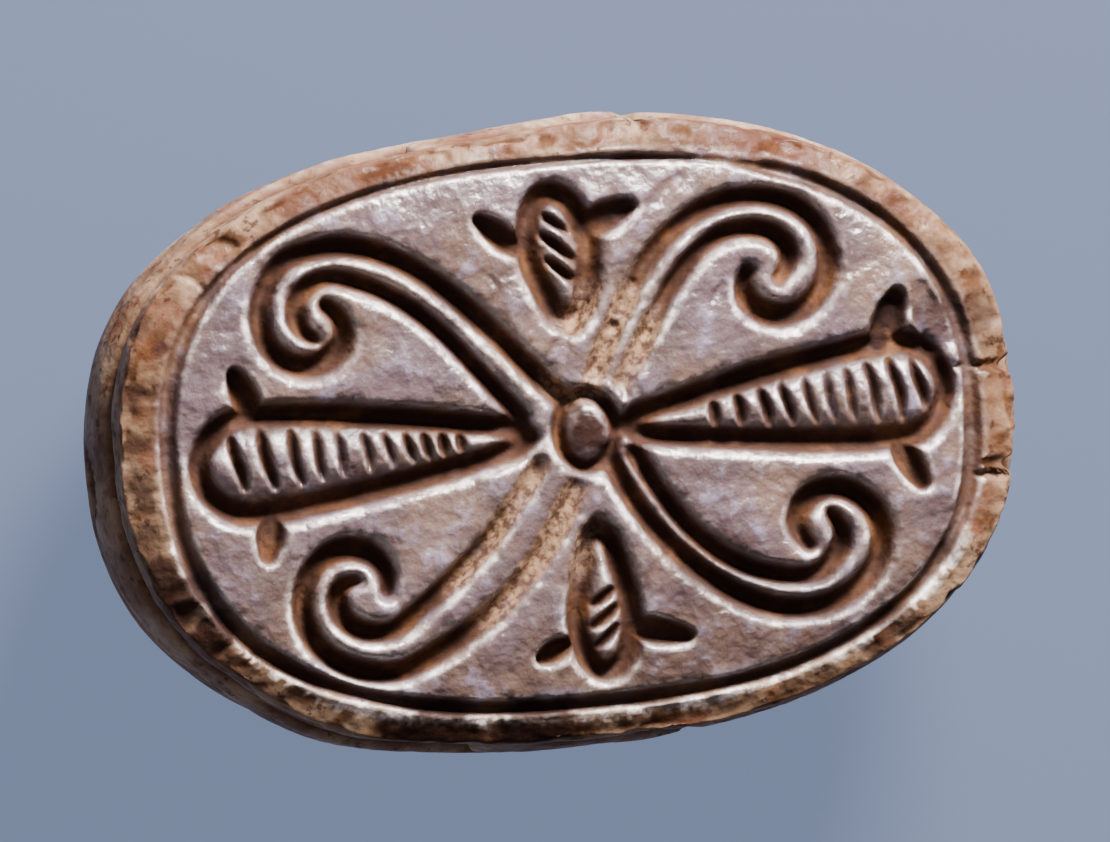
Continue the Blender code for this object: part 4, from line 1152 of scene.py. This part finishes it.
class Shading:
    """Builds a material's nodes: the mesh's masks, blotches over it, arithmetic and mixed colours."""

    def __init__(self, tree):
        self.tree = tree
        where = tree.nodes.new("ShaderNodeTexCoord")
        to_mm = add_node(tree, "ShaderNodeMapping", Vector=where.outputs["Object"], Scale=(1 / MM,) * 3)
        self.place = to_mm.outputs[0]
        self.blotches = blotch_group()
        self.maths = partial(arithmetic, tree, clamp=True)

    def mask(self, name):
        made = self.tree.nodes.new("ShaderNodeAttribute")
        made.attribute_name = name
        return made.outputs["Fac"]

    def noise(self, **inputs):
        return add_node(self.tree, "ShaderNodeTexNoise", Vector=self.place, **inputs).outputs[0]

    def blotch(self, scale, low, high, detail=4):
        made = self.tree.nodes.new("ShaderNodeGroup")
        made.node_tree = self.blotches
        feed(self.tree, made, Place=self.place, Scale=scale, Low=low, High=high, Detail=detail)
        return made.outputs[0]

    def times(self, a, b):
        return self.maths("MULTIPLY", a, b)

    def plus(self, a, b):
        return self.maths("ADD", a, b)

    def without(self, a):
        return self.maths("SUBTRACT", 1, a)

    def mix(self, amount, under, over):
        made = self.tree.nodes.new("ShaderNodeMix")
        made.data_type = "RGBA"
        for number, value in ((0, amount), (6, under), (7, over)):
            join(self.tree, made.inputs[number], linear(*value) if isinstance(value, tuple) else value)
        return made.outputs[2]

    def cover(self, stone, mask, share, colour):
        """The stone so far with a colour over it where the mask is, by a share."""
        return self.mix(self.times(mask, share), stone, colour)


def stone_colour(shade):
    """Mauve-grey field with painted bluish sheen and darker patches, cream-brown rim, edges worn pale with
    painted highlight, then dirt, grit, stains and painted shade.
    """
    blotch, cover, mask = shade.blotch, shade.cover, shade.mask
    field = shade.mix(blotch(0.55, 0.4, 0.62), MAUVE, WARM_GREY)
    # Painted reflection: bluish-white flecks for the glossy field's sheen, and darker patches between them
    field = cover(field, blotch(1.7, 0.52, 0.7), 0.55, PAINTED_BLUE_SHEEN)
    field = cover(field, blotch(0.9, 0.48, 0.62), 0.6, DARK_SHEEN_GAP)
    rim = shade.mix(blotch(0.7, 0.38, 0.62), CREAM, TAN)
    rim = cover(rim, blotch(1.3, 0.5, 0.62, 6), 0.7, RED_BROWN)
    rim = cover(rim, blotch(4, 0.58, 0.68, 3), 0.8, DARK_SPECK)
    rim = cover(rim, mask("rust"), 0.9, RUST_BROWN)
    stone = shade.mix(mask("field"), rim, field)
    # Pale edges: real wear and painted highlight together, as marked on the mesh
    rubbed_and_lit = shade.plus(0.08, shade.times(blotch(2.6, 0.42, 0.66), 0.54))
    stone = cover(stone, mask("lip"), rubbed_and_lit, RUBBED_WHITE_AND_HIGHLIGHT)
    crusted = shade.mix(blotch(6, 0.4, 0.6), PALE_GRIT, DARK_GRIT)
    dirt = shade.mix(blotch(1.1, 0.45, 0.72), DEEP_DIRT, DRY_DIRT)
    bare = shade.without(shade.times(mask("sand"), 0.75))
    stone = cover(stone, shade.times(mask("hollow"), bare), 0.93, dirt)
    stone = cover(stone, mask("sand"), 0.8, crusted)
    return cover(stone, mask("stain_and_shade"), 0.93, BLACK_STAIN_AND_SHADE)


def stone_gloss(shade):
    """Polished on the field, dull on the rim, in dirt, in stains and in the painted shade."""
    times, plus, without = shade.times, shade.plus, shade.without
    hollow, stain_and_shade, field = shade.mask("hollow"), shade.mask("stain_and_shade"), shade.mask("field")
    rough = plus(plus(0.24, times(hollow, 0.4)), times(shade.blotch(4, 0.35, 0.65), 0.18))
    rough = plus(rough, times(without(field), 0.22))
    glazed = times(times(without(hollow), shade.blotch(1.5, 0.36, 0.6)), without(stain_and_shade))
    glazed = times(glazed, plus(0.12, times(field, 0.88)))
    dull = without(times(shade.maths("MAXIMUM", hollow, stain_and_shade), 0.8))
    shine = times(plus(0.1, times(field, 0.4)), dull)
    return dict(Roughness=rough, Coat_Weight=glazed, Specular_IOR_Level=shine)


def steatite_material():
    material = bpy.data.materials.new("worn_glazed_steatite")
    material.use_nodes = True
    tree = material.node_tree
    shade = Shading(tree)
    dents = shade.noise(Scale=1.7, Detail=2.5, Roughness=0.5)
    height = arithmetic(tree, "MULTIPLY_ADD", dents, 6, shade.noise(Scale=8, Detail=6, Roughness=0.6))
    bump = add_node(tree, "ShaderNodeBump", Strength=0.7, Distance=0.00003, Height=height).outputs[0]
    feed(tree, tree.nodes["Principled BSDF"], Base_Color=stone_colour(shade), Coat_Roughness=0.18,
         Subsurface_Weight=0.08, Subsurface_Radius=(1, 0.42, 0.22), Subsurface_Scale=0.00018,
         Normal=bump, Coat_Normal=bump, **stone_gloss(shade))
    return material


def floor():
    mesh = bpy.data.meshes.new("pale_floor")
    reach = 1.5
    corners = [(-reach, -reach, 0), (reach, -reach, 0), (reach, reach, 0), (-reach, reach, 0)]
    mesh.from_pydata(corners, [], [(0, 1, 2, 3)])
    pale = bpy.data.materials.new("pale_floor")
    pale.use_nodes = True
    feed(pale.node_tree, pale.node_tree.nodes["Principled BSDF"], Base_Color=linear(*FLOOR_SHADE),
         Emission_Color=linear(*FLOOR_GLOW), Emission_Strength=0.8, Roughness=0.9, Specular_IOR_Level=0.1)
    mesh.materials.append(pale)
    add_object("pale_floor", mesh)


def area_light(name, toward, distance, size, power, colour):
    """A square light at a distance from the stone, facing it."""
    data = bpy.data.lights.new(name, "AREA")
    data.size = size
    data.energy = power
    data.color = colour
    light = add_object(name, data)
    toward = Vector(toward).normalized()
    light.location = toward * distance + Vector((0, 0, HEIGHT * MM))
    light.rotation_euler = toward.to_track_quat("Z", "Y").to_euler()


def studio_light():
    for light in LIGHTS:
        area_light(*light)
    world = bpy.data.worlds.new("studio")
    world.use_nodes = True
    feed(world.node_tree, world.node_tree.nodes["Background"], Color=SKY, Strength=SKY_STRENGTH)
    bpy.context.scene.world = world


def camera():
    """The photograph's view: from 260 mm, tipped towards the tail, turned a little in the frame."""
    roll, tip_x, tip_y = np.radians(VIEW_TURNS)
    back = np.array([-np.sin(tip_x), np.sin(tip_y), 0])
    back[2] = np.sqrt(1 - back @ back)
    right = np.cross([np.sin(roll), np.cos(roll), 0], back)
    right /= np.linalg.norm(right)
    up = np.cross(back, right)
    across, down = np.subtract(STONE_CENTRE, PHOTO_CENTRE) / PIXELS_PER_MM
    place = VIEW_DISTANCE * back - across * right + down * up + (0, 0, HEIGHT)
    data = bpy.data.cameras.new("camera")
    data.sensor_width = SENSOR
    data.lens = PIXELS_PER_MM * VIEW_DISTANCE * SENSOR / PHOTO_WIDTH
    data.clip_start = 0.01
    made = add_object("camera", data)
    matrix = np.eye(4)
    matrix[:3] = np.column_stack([right, up, back, place * MM])
    made.matrix_world = Matrix(matrix.tolist())
    bpy.context.scene.camera = made


scarab = weathered(stone_mesh(), steatite_material())
fit_to_solid(scarab)
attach(scarab, "root")
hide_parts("scarab")
floor()
studio_light()
camera()
